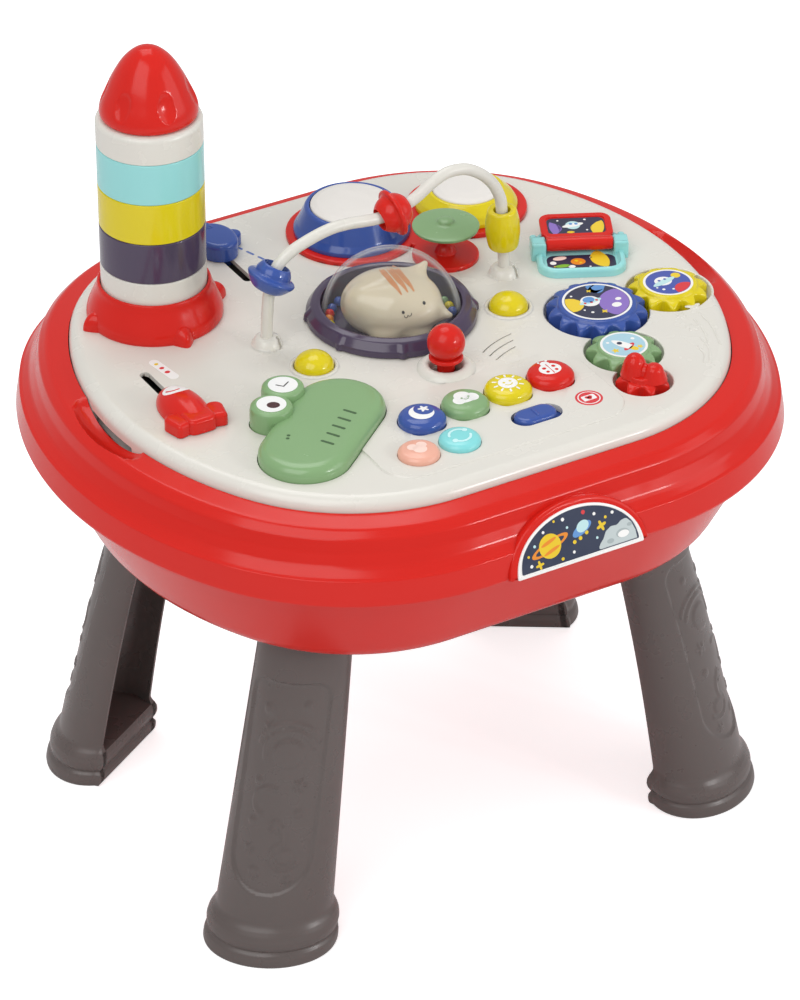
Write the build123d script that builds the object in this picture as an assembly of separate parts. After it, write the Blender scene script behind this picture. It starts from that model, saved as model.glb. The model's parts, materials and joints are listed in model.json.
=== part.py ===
"""Musical activity table for toddlers: a lift-out activity board in a round-cornered red tub on four
channel legs.  Every piece is a separate solid in its own STEP file.

Frame: millimetres, +Z up, origin on the floor under the middle of the table.  +X runs along the
table's long side to the user's right, and the user sits at -Y.  Heights written as h are measured from
the flat top of the board.
"""
from build123d import *
from math import atan2, cos, degrees, hypot, pi, radians, sin
import os

# ---------------------------------------------------------------- driving dimensions
BOARD_Z = 330.0        # flat top of the board above the floor
HALF_X, HALF_Y = 198.0, 172.0      # board outline, half length and half width
FLAT = 60.0            # half length of the outline's straight front and back
CORNER_R = 125.0       # radius of the outline's corners
WALL = 3.0             # wall of the big mouldings
EDGE_R = 8.0           # rounded edge of the board
SKIRT_H = -23.0        # lower edge of the board's skirt, which rests on the rim's ledge
PAN_H = -46.0          # underside of the board's back pan
TUB_FLOOR_H = -118.0   # underside of the tub
TUB_LIP = 27.5         # the tub's upper lip, out from the board's outline

RING_R, RING_H = 32.3, 27.0        # stacking rings
TOP_RING_H = 18.0      # the top ring is lower
SPIGOT_R, SPIGOT_H = 25.0, 6.0     # the spigot on top of each ring
STACK_H = 11.0         # seat of the lowest ring in the rocket's base
ROCKET = (-120.4, 88.5)

WIRE_R = 3.65          # tube of the bead arch
ARCH_Y = 21.0
ARCH = [(-80.0, 10), (-78.2, 34), (-74.0, 49), (-65.0, 58), (-51.2, 63.6), (-36.5, 67), (-24, 67.2),
        (-12, 65.7), (-2, 64.8), (9, 66), (22.7, 71.2), (33, 77.5), (42, 81.8), (50, 83), (60, 81),
        (70, 74.7), (77.8, 66.3), (82.6, 56.8), (84.6, 47), (86.6, 10)]        # (x, h) along the tube

DOME = (2.0, 13.0)
DOME_R = 42.8          # outside of the clear dome
DOME_FLOOR_H = -5.4    # floor under the dome
BUMP_SWEEP_R = 54.8    # room that the dome ring's bumps sweep
STICK = (-1.3, -57.5)
BALL_R, BALL_H = 11.5, 18.5
DRUM_BLUE, DRUM_YELLOW, CYMBAL = (30.8, 111.3), (108.5, 102.4), (66.8, 57.5)
DOME_BUTTON = 68.0     # the two yellow buttons stand at x = -/+ this
DOME_BUTTON_Y = -15.5
BUTTONS = {"blue": (-45.0, -103.4), "green": (-14.7, -102.3), "yellow": (15.7, -100.9), "red": (45.8, -99.9)}
SMALL_BUTTON_Y = -133.0
SMALL_BUTTON_X = {"salmon": -64.5, "cyan": -36.8}
SWITCH = (17.6, -130.2)

MODULE = 4.1           # pitch diameter over teeth
TEETH = {"blue": 14, "yellow": 11, "green": 10, "red": 7}
TOOTH = 2.7            # half height of the wavy tooth
BACKLASH = 0.38        # taken off each flank
GEAR_BLUE = (112.5, -45.8)
POCKET_H = -9.0        # floor of the gear pocket

HINGE = (138.8, 16.6)  # middle of the flip book's hinge
BOOK_TURN = -25.9      # degrees, the book's hinge line from +X
BOOK_HINGE_H = 8.5

FROG_A, FROG_B, FROG_R = (-122.7, -101.8), (-80.6, -67.6), 27.6
FROG_EYES = [(-104.9, -43.5), (-121.2, -59.0)]
SLIDER_RED_X, SLIDER_BLUE_X = -160.0, -52.5
SLOT_W = 6.4

LEG_TOP, LEG_FOOT = (112.5, 90.0), (157.0, 112.0)      # leg axis at the tub's underside and on the floor
LEG_R_TOP, LEG_R_FOOT = 27.0, 37.0     # half width of a leg
LEG_DEEP, LEG_CUT = 0.79, 0.5  # depth over width of the oval section, and where its flat side cuts it
LEG_BOW = 3.7
LEG_FACE = 58.0        # degrees from the X axis that a leg's round side faces
LEG_H = 233.0          # height at which LEG_TOP holds
FOOT_BASE, FOOT_TOP = 10.0, 26.0       # heights of the foot's lower and upper beads; the foot is solid
PLUG = 24.0            # length of a leg inside its socket
LEG_TOP_H = LEG_H + PLUG - BOARD_Z
SOCKET_GAP = 0.3       # clearance round a leg in its socket
BATTERY, DOOR = (-60.0, 30.0), (72.0, 66.0)            # middle and size of the battery door
DOOR_EDGE_R = 1.1        # round front edge that the battery door turns on
SPEAKER = (60.0, -70.0)
CIRCUIT, CIRCUIT_SIZE, CIRCUIT_H = (-8.0, -118.0), (150.0, 58.0), -16.0
BOARD_SCREWS = [(-150.0, 60.0), (150.0, 60.0), (-150.0, -60.0), (140.0, -88.0), (0.0, 142.0)]
SCREW_R = 1.5
BOSS_H = -30.0         # where the pan's screw bosses meet the board's posts
TRAVEL = 2.5           # travel of the push buttons
GAP = 0.3              # clearance round everything that moves
OUT = "parts"
STAND = (Align.CENTER, Align.CENTER, Align.MIN)        # a primitive that stands on its own base


# ---------------------------------------------------------------- shared shapes
def save(node, shape):
    """Write one node's solids to its STEP file."""
    os.makedirs(OUT, exist_ok=True)
    solids = shape.solids()
    keep = solids[0] if len(solids) == 1 else Compound(children=list(solids))
    export_step(keep, f"{OUT}/{node}.step")


def up(x, y, h=0.0):
    """Place at (x, y), h above the board."""
    return Pos(x, y, BOARD_Z + h)


def rod(radius, low, high, at=(0, 0)):
    """Upright cylinder from height low to height high."""
    return up(at[0], at[1], low) * Cylinder(radius, high - low, align=STAND)


def lathe(points, at=(0, 0)):
    """Turn a profile of (radius, h) points about an upright axis."""
    face = make_face(Polyline(*points, close=True))
    return up(*at) * revolve(Plane.XZ * face, Axis.Z)


def prism(face, low, high):
    """Extrude a flat outline, drawn at board coordinates, from height low to height high."""
    return Pos(0, 0, BOARD_Z + low) * extrude(face, high - low)


def capsule(a, b, radius):
    """Flat outline of two equal circles and their common tangents."""
    length = hypot(b[0] - a[0], b[1] - a[1])
    turn = degrees(atan2(b[1] - a[1], b[0] - a[0]))
    middle = Pos((a[0] + b[0]) / 2, (a[1] + b[1]) / 2)
    return middle * Rot(0, 0, turn) * SlotOverall(length + 2 * radius, 2 * radius)


def ball(radius, x, y, h):
    return up(x, y, h) * Sphere(radius)


def soften(part, radius, height, centres=()):
    """Round the edges that lie wholly at one height, or only the arcs about the centres given."""
    level = BOARD_Z + height
    edges = [e for e in part.edges() if abs(e.bounding_box().min.Z - level) < 0.01
             and abs(e.bounding_box().max.Z - level) < 0.01]
    if centres:
        edges = [e for e in edges if e.geom_type == GeomType.CIRCLE
                 and any(hypot(e.arc_center.X - x, e.arc_center.Y - y) < 0.1 for x, y in centres)]
    return fillet(edges, radius)


# ---------------------------------------------------------------- the table's outline
# Straight front and back, corner arcs, and side arcs of the radius that is tangent to both.
CORNER_C = (FLAT, HALF_Y - CORNER_R)
_a, _b = HALF_X - FLAT, CORNER_C[1]
SIDE_R = (_a ** 2 + _b ** 2 - CORNER_R ** 2) / (2 * (_a - CORNER_R))
SIDE_C = HALF_X - SIDE_R
SPREAD = degrees(atan2(CORNER_C[1], CORNER_C[0] - SIDE_C))     # half angle of a side arc


def outline(offset):
    """Flat face of the outline grown by offset."""
    corner, side = CORNER_R + offset, SIDE_R + offset
    cx, cy = CORNER_C
    reach = cy + corner
    edges = [Line((-FLAT, reach), (FLAT, reach)), Line((-FLAT, -reach), (FLAT, -reach))]
    edges += [CenterArc((SIDE_C, 0), side, -SPREAD, 2 * SPREAD),
              CenterArc((-SIDE_C, 0), side, 180 - SPREAD, 2 * SPREAD)]
    for sx, sy, start in ((1, 1, SPREAD), (-1, 1, 90), (-1, -1, 180 + SPREAD), (1, -1, 270)):
        edges.append(CenterArc((sx * cx, sy * cy), corner, start, 90 - SPREAD))
    return make_face(edges)


def around(points, rounds=()):
    """Carry a profile of (offset, h) points all round the outline, as one closed moulding.
    rounds gives (point number, radius) for the corners of the profile that are rounded."""
    face = make_face(Polyline(*points, close=True))
    for number, radius in rounds:
        x, y = points[number]
        corner = min(face.vertices(), key=lambda v: hypot(v.X - x, v.Y - y))
        face = fillet(corner, radius)
    cx, cy = CORNER_C
    pieces = []
    for sx, sy, start in ((1, 1, SPREAD), (-1, 1, 90), (-1, -1, 180 + SPREAD), (1, -1, 270)):
        bend = revolve(Plane.XZ * Pos(CORNER_R, 0) * face, Axis.Z, revolution_arc=90 - SPREAD)
        pieces.append(up(sx * cx, sy * cy) * Rot(0, 0, start) * bend)
    for start, x in ((-SPREAD, SIDE_C), (180 - SPREAD, -SIDE_C)):
        bend = revolve(Plane.XZ * Pos(SIDE_R, 0) * face, Axis.Z, revolution_arc=2 * SPREAD)
        pieces.append(up(x, 0) * Rot(0, 0, start) * bend)
    for turn in (0, 180):
        run = Plane.XZ * Pos(HALF_Y, 0) * face            # leaves the middle along +X
        straight = Rot(0, 0, -90 + turn) * Pos(0, FLAT, 0) * extrude(run, 2 * FLAT)
        pieces.append(up(0, 0) * straight)
    whole = pieces[0]
    for piece in pieces[1:]:
        whole = whole + piece
    return whole


# ---------------------------------------------------------------- rim, tub, badge and their screws
BADGE_LOW, BADGE_HIGH = (-211.0, -50.0), (-200.0, -20.0)       # (y, h) of the badge's slanting face
BADGE_LEAN = degrees(atan2(BADGE_HIGH[0] - BADGE_LOW[0], BADGE_HIGH[1] - BADGE_LOW[1]))


def badge_arch(half_width, height):
    """Half-dome outline standing on its base line."""
    return Ellipse(half_width, height) & Pos(0, height) * Rectangle(4 * half_width, 2 * height)


def on_badge(face, out, depth):
    """Extrude a badge outline inwards from out millimetres in front of the badge's face."""
    plane = Plane(origin=(0, BADGE_LOW[0], BOARD_Z + BADGE_LOW[1]), x_dir=(1, 0, 0),
                  z_dir=(0, -cos(radians(BADGE_LEAN)), sin(radians(BADGE_LEAN))))
    return plane * Pos(0, 0, out - depth) * extrude(face, depth)


def finger_scoop(side, grow):
    """Shallow oval dish in the rim beside the board's end, where fingers reach under the board."""
    return up(side * (HALF_X + 2.0), -3.0, -9.0) * egg(10.5 + grow, 36.0 + grow, 8.0 + grow)


def make_rim():
    """Upper red moulding: flat band, crest, flared flank, ledge and lip, with an inner wall and ledge."""
    skin = [(0.6, -8), (14, -9.8), (19, -14.5), (21.2, -22), (25, -29.5), (29.6, -34), (31.4, -34.9),
            (34, -50), (33.2, -52), (30.4, -52), (28.4, -37.4), (22.6, -32), (18.2, -23.6), (15.9, -15.6),
            (12.8, -13), (3.6, -11.6), (3.6, -26), (-7, -26), (-7, SKIRT_H), (0.6, SKIRT_H)]
    rim = around(skin, [(1, 6), (2, 5), (3, 14), (4, 12), (7, 1.4)])
    room = rod(400, -60, -9.0) - prism(outline(0.6), -60, -8)
    for side in (-1, 1):
        rim = rim + (finger_scoop(side, 2.6) & room)
        rim = rim - finger_scoop(side, 0.0)
    pad = on_badge(badge_arch(50, 40), -0.8, 8.5)
    pad = pad - prism(outline(TUB_LIP + 0.4), -60, -8)
    return rim + pad


def make_tub():
    """Lower red moulding: a round-bottomed tray with leg sockets and stiffening ribs underneath."""
    wall = [(24.5, -38), (TUB_LIP, -38), (TUB_LIP, -44), (24, -52), (-8.5, TUB_FLOOR_H), (-34, TUB_FLOOR_H),
            (-34, TUB_FLOOR_H + WALL), (-10.4, TUB_FLOOR_H + WALL), (20.9, -51), (24.5, -43.5)]
    tub = around(wall, [(4, 24), (7, 21)])
    tub = tub + prism(outline(-33), TUB_FLOOR_H, TUB_FLOOR_H + WALL)
    above = prism(outline(-10), TUB_FLOOR_H, -40)
    for sx in (-1, 1):
        for sy in (-1, 1):
            socket = leg_loft(sx, sy, SOCKET_GAP + 2.6, 0, LEG_H + PLUG) & above
            roof = Pos(*leg_axis(sx, sy, LEG_H + PLUG), LEG_H + PLUG) * Rot(0, 0, leg_turn(sx, sy))
            plug_r = LEG_R_FOOT + (LEG_R_TOP - LEG_R_FOOT) * (LEG_H + PLUG) / LEG_H
            cap = leg_section(plug_r, SOCKET_GAP + 2.6)
            tub = tub + socket + roof * extrude(cap, 2.6)
            tub = tub - leg_loft(sx, sy, SOCKET_GAP, 0, LEG_H + PLUG)
            tub = tub - rod(SCREW_R + 0.2, LEG_TOP_H - 5, LEG_TOP_H + 5, leg_axis(sx, sy, LEG_H + PLUG))
    for x in (-40, 0, 40):
        tub = tub + up(x, 0, TUB_FLOOR_H + WALL) * Box(2.4, 260, 5, align=STAND)
    return tub


def make_badge():
    """Printed plate on the front pad."""
    return on_badge(Pos(0, 1.5) * badge_arch(42.5, 33), 0.0, 0.8)


# ---------------------------------------------------------------- legs
def leg_section(radius, grow=0.0, open_by=0.0):
    """Oval leg section, cut flat on the side that faces under the table.  open_by moves the cut out."""
    deep = LEG_DEEP * radius
    cut = LEG_CUT * deep + grow + open_by
    return Ellipse(deep + grow, radius + grow) - Pos(-2 * radius - cut, 0) * Rectangle(4 * radius, 4 * radius)


def leg_turn(sx, sy):
    return degrees(atan2(sy * sin(radians(LEG_FACE)), sx * cos(radians(LEG_FACE))))


def leg_axis(sx, sy, level):
    """Point of a leg's axis at a height above the floor."""
    t = level / LEG_H
    bow = LEG_BOW * sin(pi * min(t, 1.0))
    x = LEG_FOOT[0] + (LEG_TOP[0] - LEG_FOOT[0]) * t + bow * cos(radians(LEG_FACE))
    y = LEG_FOOT[1] + (LEG_TOP[1] - LEG_FOOT[1]) * t + bow * sin(radians(LEG_FACE))
    return sx * x, sy * y


def leg_loft(sx, sy, grow, low, high, open_by=0.0):
    """A leg's tapering, splaying body between two heights."""
    sections = []
    for level in (low, (low + high) / 2, high):
        radius = LEG_R_FOOT + (LEG_R_TOP - LEG_R_FOOT) * level / LEG_H
        face = leg_section(radius, grow, open_by)
        sections.append(Pos(*leg_axis(sx, sy, level), level) * Rot(0, 0, leg_turn(sx, sy)) * face)
    return loft(sections)


def make_leg(sx, sy):
    """Channel leg, open towards the middle, with a beaded foot, a framed panel and a plug top."""
    leg = leg_loft(sx, sy, 0, 0, LEG_H + PLUG)
    turn = Rot(0, 0, leg_turn(sx, sy))
    for low, high, grow in ((0, FOOT_BASE, 4.5), (FOOT_BASE, FOOT_TOP, 3.8)):
        foot = extrude(leg_section(LEG_R_FOOT, grow), high - low)
        foot = Pos(sx * LEG_FOOT[0], sy * LEG_FOOT[1], low) * turn * foot
        edges = [e for e in foot.edges() if e.bounding_box().size.Z < 0.01 and e.geom_type != GeomType.LINE]
        leg = leg + fillet(edges, 3.4)
    # the long round-ended panel sunk into the outer face
    middle = Pos(sx * 0.5 * (LEG_FOOT[0] + LEG_TOP[0]), sy * 0.5 * (LEG_FOOT[1] + LEG_TOP[1]), 118)
    window = middle * turn * Rot(0, 90, 0) * extrude(SlotOverall(150, 44), 400)
    skin = leg_loft(sx, sy, 1, 20, 215) - leg_loft(sx, sy, -1.1, 20, 215)
    leg = leg - (skin & window)
    hollow = leg_loft(sx, sy, -WALL, FOOT_TOP - WALL, LEG_H + PLUG - WALL, open_by=30)
    leg = leg - hollow
    at = leg_axis(sx, sy, LEG_H + PLUG)
    leg = leg + rod(4.5, LEG_TOP_H - 12, LEG_TOP_H - 1, at)
    return leg - rod(SCREW_R + 0.02, LEG_TOP_H - 13, LEG_TOP_H + 1, at)


# ---------------------------------------------------------------- gears
def gear_ring_points(teeth, inset, per_tooth=10):
    """Flank of a gear rolled from a wavy rack y = TOOTH cos(kx): the rack point's normal passes through
    the pitch point, so every gear of the set meshes with every other.  inset moves it inwards."""
    pitch_r, k = MODULE * teeth / 2, 2 / MODULE
    points = []
    for i in range(teeth * per_tooth):
        s = i / (teeth * per_tooth) * 2 * pi * pitch_r
        y, slope = TOOTH * cos(k * s), -TOOTH * k * sin(k * s)
        u = s + y * slope
        size = hypot(1, slope)
        px, py = -y * slope + inset * slope / size, pitch_r + y - inset / size
        turn = u / pitch_r
        points.append((px * cos(turn) + py * sin(turn), -px * sin(turn) + py * cos(turn)))
    return points


def gear_face(teeth, inset=BACKLASH):
    """Flat face of a gear with a tooth crest at its local +Y."""
    return make_face(Spline(*gear_ring_points(teeth, inset), periodic=True))


def mesh_next(place, teeth, turn, other_teeth, bearing):
    """Centre and turn of a gear that meshes with the one at place, in the direction bearing (degrees)."""
    reach = MODULE * (teeth + other_teeth) / 2
    centre = (place[0] + reach * cos(radians(bearing)), place[1] + reach * sin(radians(bearing)))
    phase = (bearing - (90 + turn)) * teeth / 360          # crests past the bearing, in teeth
    other = bearing + 180 - 90 + (phase + 0.5) * 360 / other_teeth
    return centre, other


GEARS = {"blue": (GEAR_BLUE, 0.0)}
GEARS["yellow"] = mesh_next(GEAR_BLUE, TEETH["blue"], 0.0, TEETH["yellow"], -0.3)
GEARS["green"] = mesh_next(GEAR_BLUE, TEETH["blue"], 0.0, TEETH["green"], -103.0)
GEARS["red"] = mesh_next(GEARS["green"][0], TEETH["green"], GEARS["green"][1], TEETH["red"], -103.1)
GEAR_TOP = {"blue": (4.8, 6.4), "yellow": (3.4, 5.0), "green": (3.0, 4.4), "red": (2.6, 5.5)}    # teeth, boss
AXLE_R = 3.5


def make_gear(name):
    """Thick toy gear with chamfered wavy teeth, a raised face for its disc, and a blind bore below."""
    (x, y), turn = GEARS[name]
    teeth, (tooth_h, boss_h) = TEETH[name], GEAR_TOP[name]
    pitch_r = MODULE * teeth / 2
    low = POCKET_H + 1.0
    tip = pitch_r + TOOTH + 0.1
    blank = up(x, y, low) * Rot(0, 0, turn) * extrude(gear_face(teeth), tooth_h - low)
    crown = lathe([(0, low), (tip, low), (tip, tooth_h - 3.2), (tip - 2.6, tooth_h - 0.9),
                   (tip - 6.5, tooth_h), (0, tooth_h)], (x, y))
    gear = blank & crown
    root = pitch_r - TOOTH - 1.4
    gear = gear + lathe([(0, tooth_h - 1), (root, tooth_h - 1), (root - 0.6, boss_h - 0.8),
                         (root - 1.6, boss_h), (0, boss_h)], (x, y))
    if name == "red":
        for px, py, height, radius in ((x - 3.6, y + 5.0, 10.5, 6.6), (x + 3.8, y - 6.5, 7.5, 5.2)):
            gear = gear + rod(radius, 1, height, (px, py)) + ball(radius, px, py, height)
    return gear - rod(AXLE_R + 0.06, low - 1, boss_h - 2.0, (x, y))


# ---------------------------------------------------------------- board
def frog_outline(grow):
    """Frog pad outline: a rounded body with two eye bumps on its far side."""
    face = capsule(FROG_A, FROG_B, FROG_R + grow)
    for x, y in FROG_EYES:
        face = face + Pos(x, y) * Circle(13.0 + grow)
    return face + Pos(-108.0, -57.5) * Circle(3.0)         # closes the gap between the eyes and the body


def button_outline(at, grow=0.0):
    """Push button outline: a circle drawn out a little flat towards the user."""
    x, y = at
    face = Pos(x, y + 0.8) * Circle(14.2 + grow)
    return face + Pos(x, y - 4.6) * RectangleRounded(24.4 + 2 * grow, 17 + 2 * grow, 7.8 + grow)


def arch_wire():
    """Centre line of the bead arch: two upright feet, which drop through the board, and the curve."""
    points = [(x, ARCH_Y, BOARD_Z + h) for x, h in ARCH]
    feet = [(points[0][0], ARCH_Y, BOARD_Z - 12), (points[-1][0], ARCH_Y, BOARD_Z - 12)]
    curve = Spline(*points, tangents=[(0, 0, 1), (0, 0, -1)])
    return Wire([Line(feet[0], points[0]), curve, Line(points[-1], feet[1])])


def make_arch():
    """Bent tube of the bead arch."""
    path = arch_wire()
    return sweep(Plane(path @ 0, z_dir=(0, 0, 1)) * Circle(WIRE_R - 0.02), path)


def turned(x, y, h, degrees_about_z):
    return up(x, y, h) * Rot(0, 0, degrees_about_z)


def make_board():
    """White top moulding with its skirt, raised control deck, bosses, gear pocket and openings."""
    block = prism(outline(0), SKIRT_H, 0)
    block = soften(block, EDGE_R, 0)
    inner = soften(prism(outline(-WALL), SKIRT_H - 1, -WALL), EDGE_R - WALL, -WALL)
    # gear pocket: one cup for the four gears, with a rounded mouth
    cup, hole = None, None
    for name, ((x, y), _) in GEARS.items():
        radius = MODULE * TEETH[name] / 2 + TOOTH + 0.9
        low = rod(radius + 2, POCKET_H - 2, -1, (x, y))
        room = rod(radius, POCKET_H, 5, (x, y))
        cup = low if cup is None else cup + low
        hole = room if hole is None else hole + room
    block = soften(block - hole, 1.0, 0, [place for place, _ in GEARS.values()])
    board = block - inner + (cup - hole)
    deck = prism(Pos(-9, -113) * RectangleRounded(164, 82, 20), -1, 0.9)
    board = board + chamfer(deck.faces().sort_by(Axis.Z)[-1].edges(), 0.8)
    for x in (ARCH[0][0], ARCH[-1][0]):
        foot = [(0, -6), (6.2, -6), (6.2, -1), (10, -1), (9.2, 2), (7.2, 5.2), (5.4, 6), (0, 6)]
        board = board + lathe(foot, (x, ARCH_Y))
        board = board - rod(WIRE_R, -20, 20, (x, ARCH_Y))
        board = board - up(x + 5, ARCH_Y - 6, 4.2) * Box(1.6, 7, 9)
    mound = lathe([(0, -1), (17.8, -1), (17.5, 1.2), (15.6, 3.2), (13.6, 4.2), (0, 4.2)], STICK)
    board = board + (mound - rod(BUMP_SWEEP_R, 0, 5, DOME))
    board = board - lathe([(0, -8), (9.6, -8), (9.6, 1.5), (12.0, 5), (0, 5)], STICK)
    for name, ((x, y), _) in GEARS.items():
        board = board + rod(AXLE_R, POCKET_H - 1, GEAR_TOP[name][1] - 2.6, (x, y))
        board = board + rod(AXLE_R + 2.5, POCKET_H - 1, POCKET_H + 0.8, (x, y))
    # openings for what moves
    board = board - rod(46.6, -20, 5, DOME)
    board = board - prism(frog_outline(GAP + 0.2), -20, 20)
    for at in BUTTONS.values():
        board = board - prism(button_outline(at, GAP), -20, 20)
    for x in SMALL_BUTTON_X.values():
        board = board - rod(12.5 + GAP, -20, 20, (x, SMALL_BUTTON_Y))
    for x in (-DOME_BUTTON, DOME_BUTTON):
        collar = [(12.8, -1), (15.2, -1), (15.0, 0.8), (14.2, 1.2), (12.8, 1.2)]
        board = board + lathe(collar, (x, DOME_BUTTON_Y))
        board = board - rod(12.0 + GAP, -20, 20, (x, DOME_BUTTON_Y))
    board = board - prism(Pos(*SWITCH) * SlotOverall(33, 17), -20, 20)
    board = board - prism(Pos(SLIDER_RED_X, -6) * Rot(0, 0, 90) * SlotOverall(72, SLOT_W), -20, 20)
    board = board - prism(Pos(SLIDER_BLUE_X, 117) * Rot(0, 0, 90) * SlotOverall(50, SLOT_W), -20, 20)
    # three curved sound slits and the finger notches at both ends
    for reach in (0.0, 6.5, 13.0):
        board = board - prism(slit(reach), -20, 20)
    for side in (-1, 1):
        board = board - up(side * HALF_X, 0, -17.5) * Box(16, 50, 12)
    for at in BOARD_SCREWS:
        board = board + rod(4.2, BOSS_H, -2, at) - rod(SCREW_R + 0.02, BOSS_H - 1, -6, at)
    return board


def slit(reach):
    """One of three thin curved slits that let the speaker sound out."""
    radius, x, y = 62.0, 62.0, -104.0 - reach
    start, size = 98.0 + reach * 0.4, 26.0 - reach * 0.6
    outer = CenterArc((x, y), radius + 0.5, start, size)
    inner = CenterArc((x, y), radius - 0.5, start, size)
    return make_face([outer, inner, Line(outer @ 0, inner @ 0), Line(outer @ 1, inner @ 1)])


def make_pan():
    """Back pan that closes the board's underside and carries the electronics."""
    pan = prism(outline(-12), PAN_H, SKIRT_H)
    pan = soften(pan, 8, PAN_H)
    pan = pan - soften(prism(outline(-12 - 2.4), PAN_H + 2.4, SKIRT_H + 1), 5, PAN_H + 2.4)
    flange = prism(outline(-3.4), SKIRT_H, SKIRT_H + 2.2) - prism(outline(-14.4), SKIRT_H - 1, SKIRT_H + 3)
    pan = pan + flange
    door = up(BATTERY[0], BATTERY[1], PAN_H + 1) * Box(DOOR[0] + 0.8, DOOR[1] + 0.8, 12)
    pan = pan - door
    for at in BOARD_SCREWS:
        pan = pan + rod(6.0, PAN_H, BOSS_H, at)
        pan = pan - rod(4.0, PAN_H - 1, BOSS_H - 3, at) - rod(SCREW_R + 0.2, BOSS_H - 4, BOSS_H + 1, at)
    for x in (-70, 70):
        for y in (-24, 18):
            pan = pan + rod(3.2, PAN_H + 1, CIRCUIT_H - 0.8, (CIRCUIT[0] + x, CIRCUIT[1] + y))
    for i in range(-3, 4):
        hole = up(SPEAKER[0] + 6.0 * i, SPEAKER[1], PAN_H) * Rot(0, 0, 90) * Box(30 - 3 * abs(i), 2.2, 12)
        pan = pan - hole
    return pan


def make_battery_box():
    """Open-bottomed box for three cells with spring contacts at its ends."""
    w, d = DOOR
    box = up(BATTERY[0], BATTERY[1], PAN_H + 2.4) * Box(w + 5, d + 5, 19.2, align=STAND)
    room = up(BATTERY[0], BATTERY[1], PAN_H) * Box(w, d, 19.6, align=STAND)
    box = box - room
    for i in (-1, 1):
        rib = up(BATTERY[0], BATTERY[1] + i * 10.5, PAN_H + 12) * Box(w, 1.6, 7.4, align=STAND)
        box = box + rib
    return box


def make_cells():
    """Three small cells side by side."""
    cells = []
    for i in (-1, 0, 1):
        at = up(BATTERY[0], BATTERY[1] + i * 21.0, PAN_H + 11.6) * Rot(0, 90, 0)
        cells.append(at * (Cylinder(7.0, 48) + Pos(0, 0, 24.8) * Cylinder(2.6, 1.8)))
    return Compound(children=cells)


def make_door():
    """Battery door: a flush cover that turns on its round front edge, and a rib to grip it by."""
    w, d = DOOR
    door = up(BATTERY[0], BATTERY[1] + DOOR_EDGE_R / 2, PAN_H) * Box(w, d - DOOR_EDGE_R, 2.2, align=STAND)
    edge = up(BATTERY[0], BATTERY[1] - d / 2 + DOOR_EDGE_R, PAN_H + DOOR_EDGE_R)
    door = door + edge * Rot(0, 90, 0) * Cylinder(DOOR_EDGE_R, w)
    tab = up(BATTERY[0], BATTERY[1] + d / 2 - 5, PAN_H + 1.8) * Box(14, 2.4, 3)
    return door + tab


def make_screws(places, seat, tip):
    """Pan-head screws, each with its head on the far side of its seat from the tip."""
    screws = []
    for at in places:
        head = rod(3.2, seat - 1.8, seat, at) if seat < tip else rod(3.2, seat, seat + 1.8, at)
        screws.append(rod(SCREW_R, min(seat, tip), max(seat, tip), at) + head)
    return Compound(children=screws)


# ---------------------------------------------------------------- rocket
def make_rocket_base():
    """Flared cup with four rounded fins; its rim holds the lowest ring."""
    cup = lathe([(0, 0), (41.5, 0), (41.8, 2.5), (40.6, 8), (37.0, 17), (34.8, 23.4), (33.8, 24.2),
                 (32.7, 23.6), (32.7, STACK_H), (0, STACK_H)], ROCKET)
    base = cup
    for i in range(4):
        fin = Pos(40.5, 0, 0) * egg(7.2, 8.0, 9.8) & Pos(40, 0, 10) * Box(60, 60, 20)
        base = base + up(*ROCKET) * Rot(0, 0, 90 * i - 3) * fin
    base = base - rod(32.7, STACK_H, 40, ROCKET)
    peg = lathe([(0, STACK_H - 1), (SPIGOT_R, STACK_H - 1), (SPIGOT_R, STACK_H + SPIGOT_H - 1.2),
                 (SPIGOT_R - 1.2, STACK_H + SPIGOT_H), (0, STACK_H + SPIGOT_H)], ROCKET)
    return base + peg


def make_ring(number):
    """Stacking ring: open below, with a spigot on top that the next piece drops over."""
    low = STACK_H + number * RING_H
    top_ring = number == 4
    high = low + (TOP_RING_H if top_ring else RING_H)
    edge = 5.0 if top_ring else 0.6
    corner = [(RING_R - edge * (1 - cos(radians(a))), high - edge + edge * sin(radians(a)))
              for a in ((0, 20, 40, 60, 78) if top_ring else (0, 45))]
    outside = [(SPIGOT_R + 0.4, low), (RING_R - 0.6, low), (RING_R, low + 0.6)] + corner
    spigot = [(RING_R - edge, high), (SPIGOT_R, high), (SPIGOT_R, high + SPIGOT_H - 1.2),
              (SPIGOT_R - 1.2, high + SPIGOT_H), (0, high + SPIGOT_H), (0, high + SPIGOT_H - 2)]
    inside = [(SPIGOT_R - 3, high + SPIGOT_H - 2), (SPIGOT_R - 3, high - 2),
              (RING_R - 2.6, high - edge - 1.8), (RING_R - 2.6, low + 9), (SPIGOT_R + 0.4, low + 7)]
    return lathe(outside + spigot + inside, ROCKET)


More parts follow.
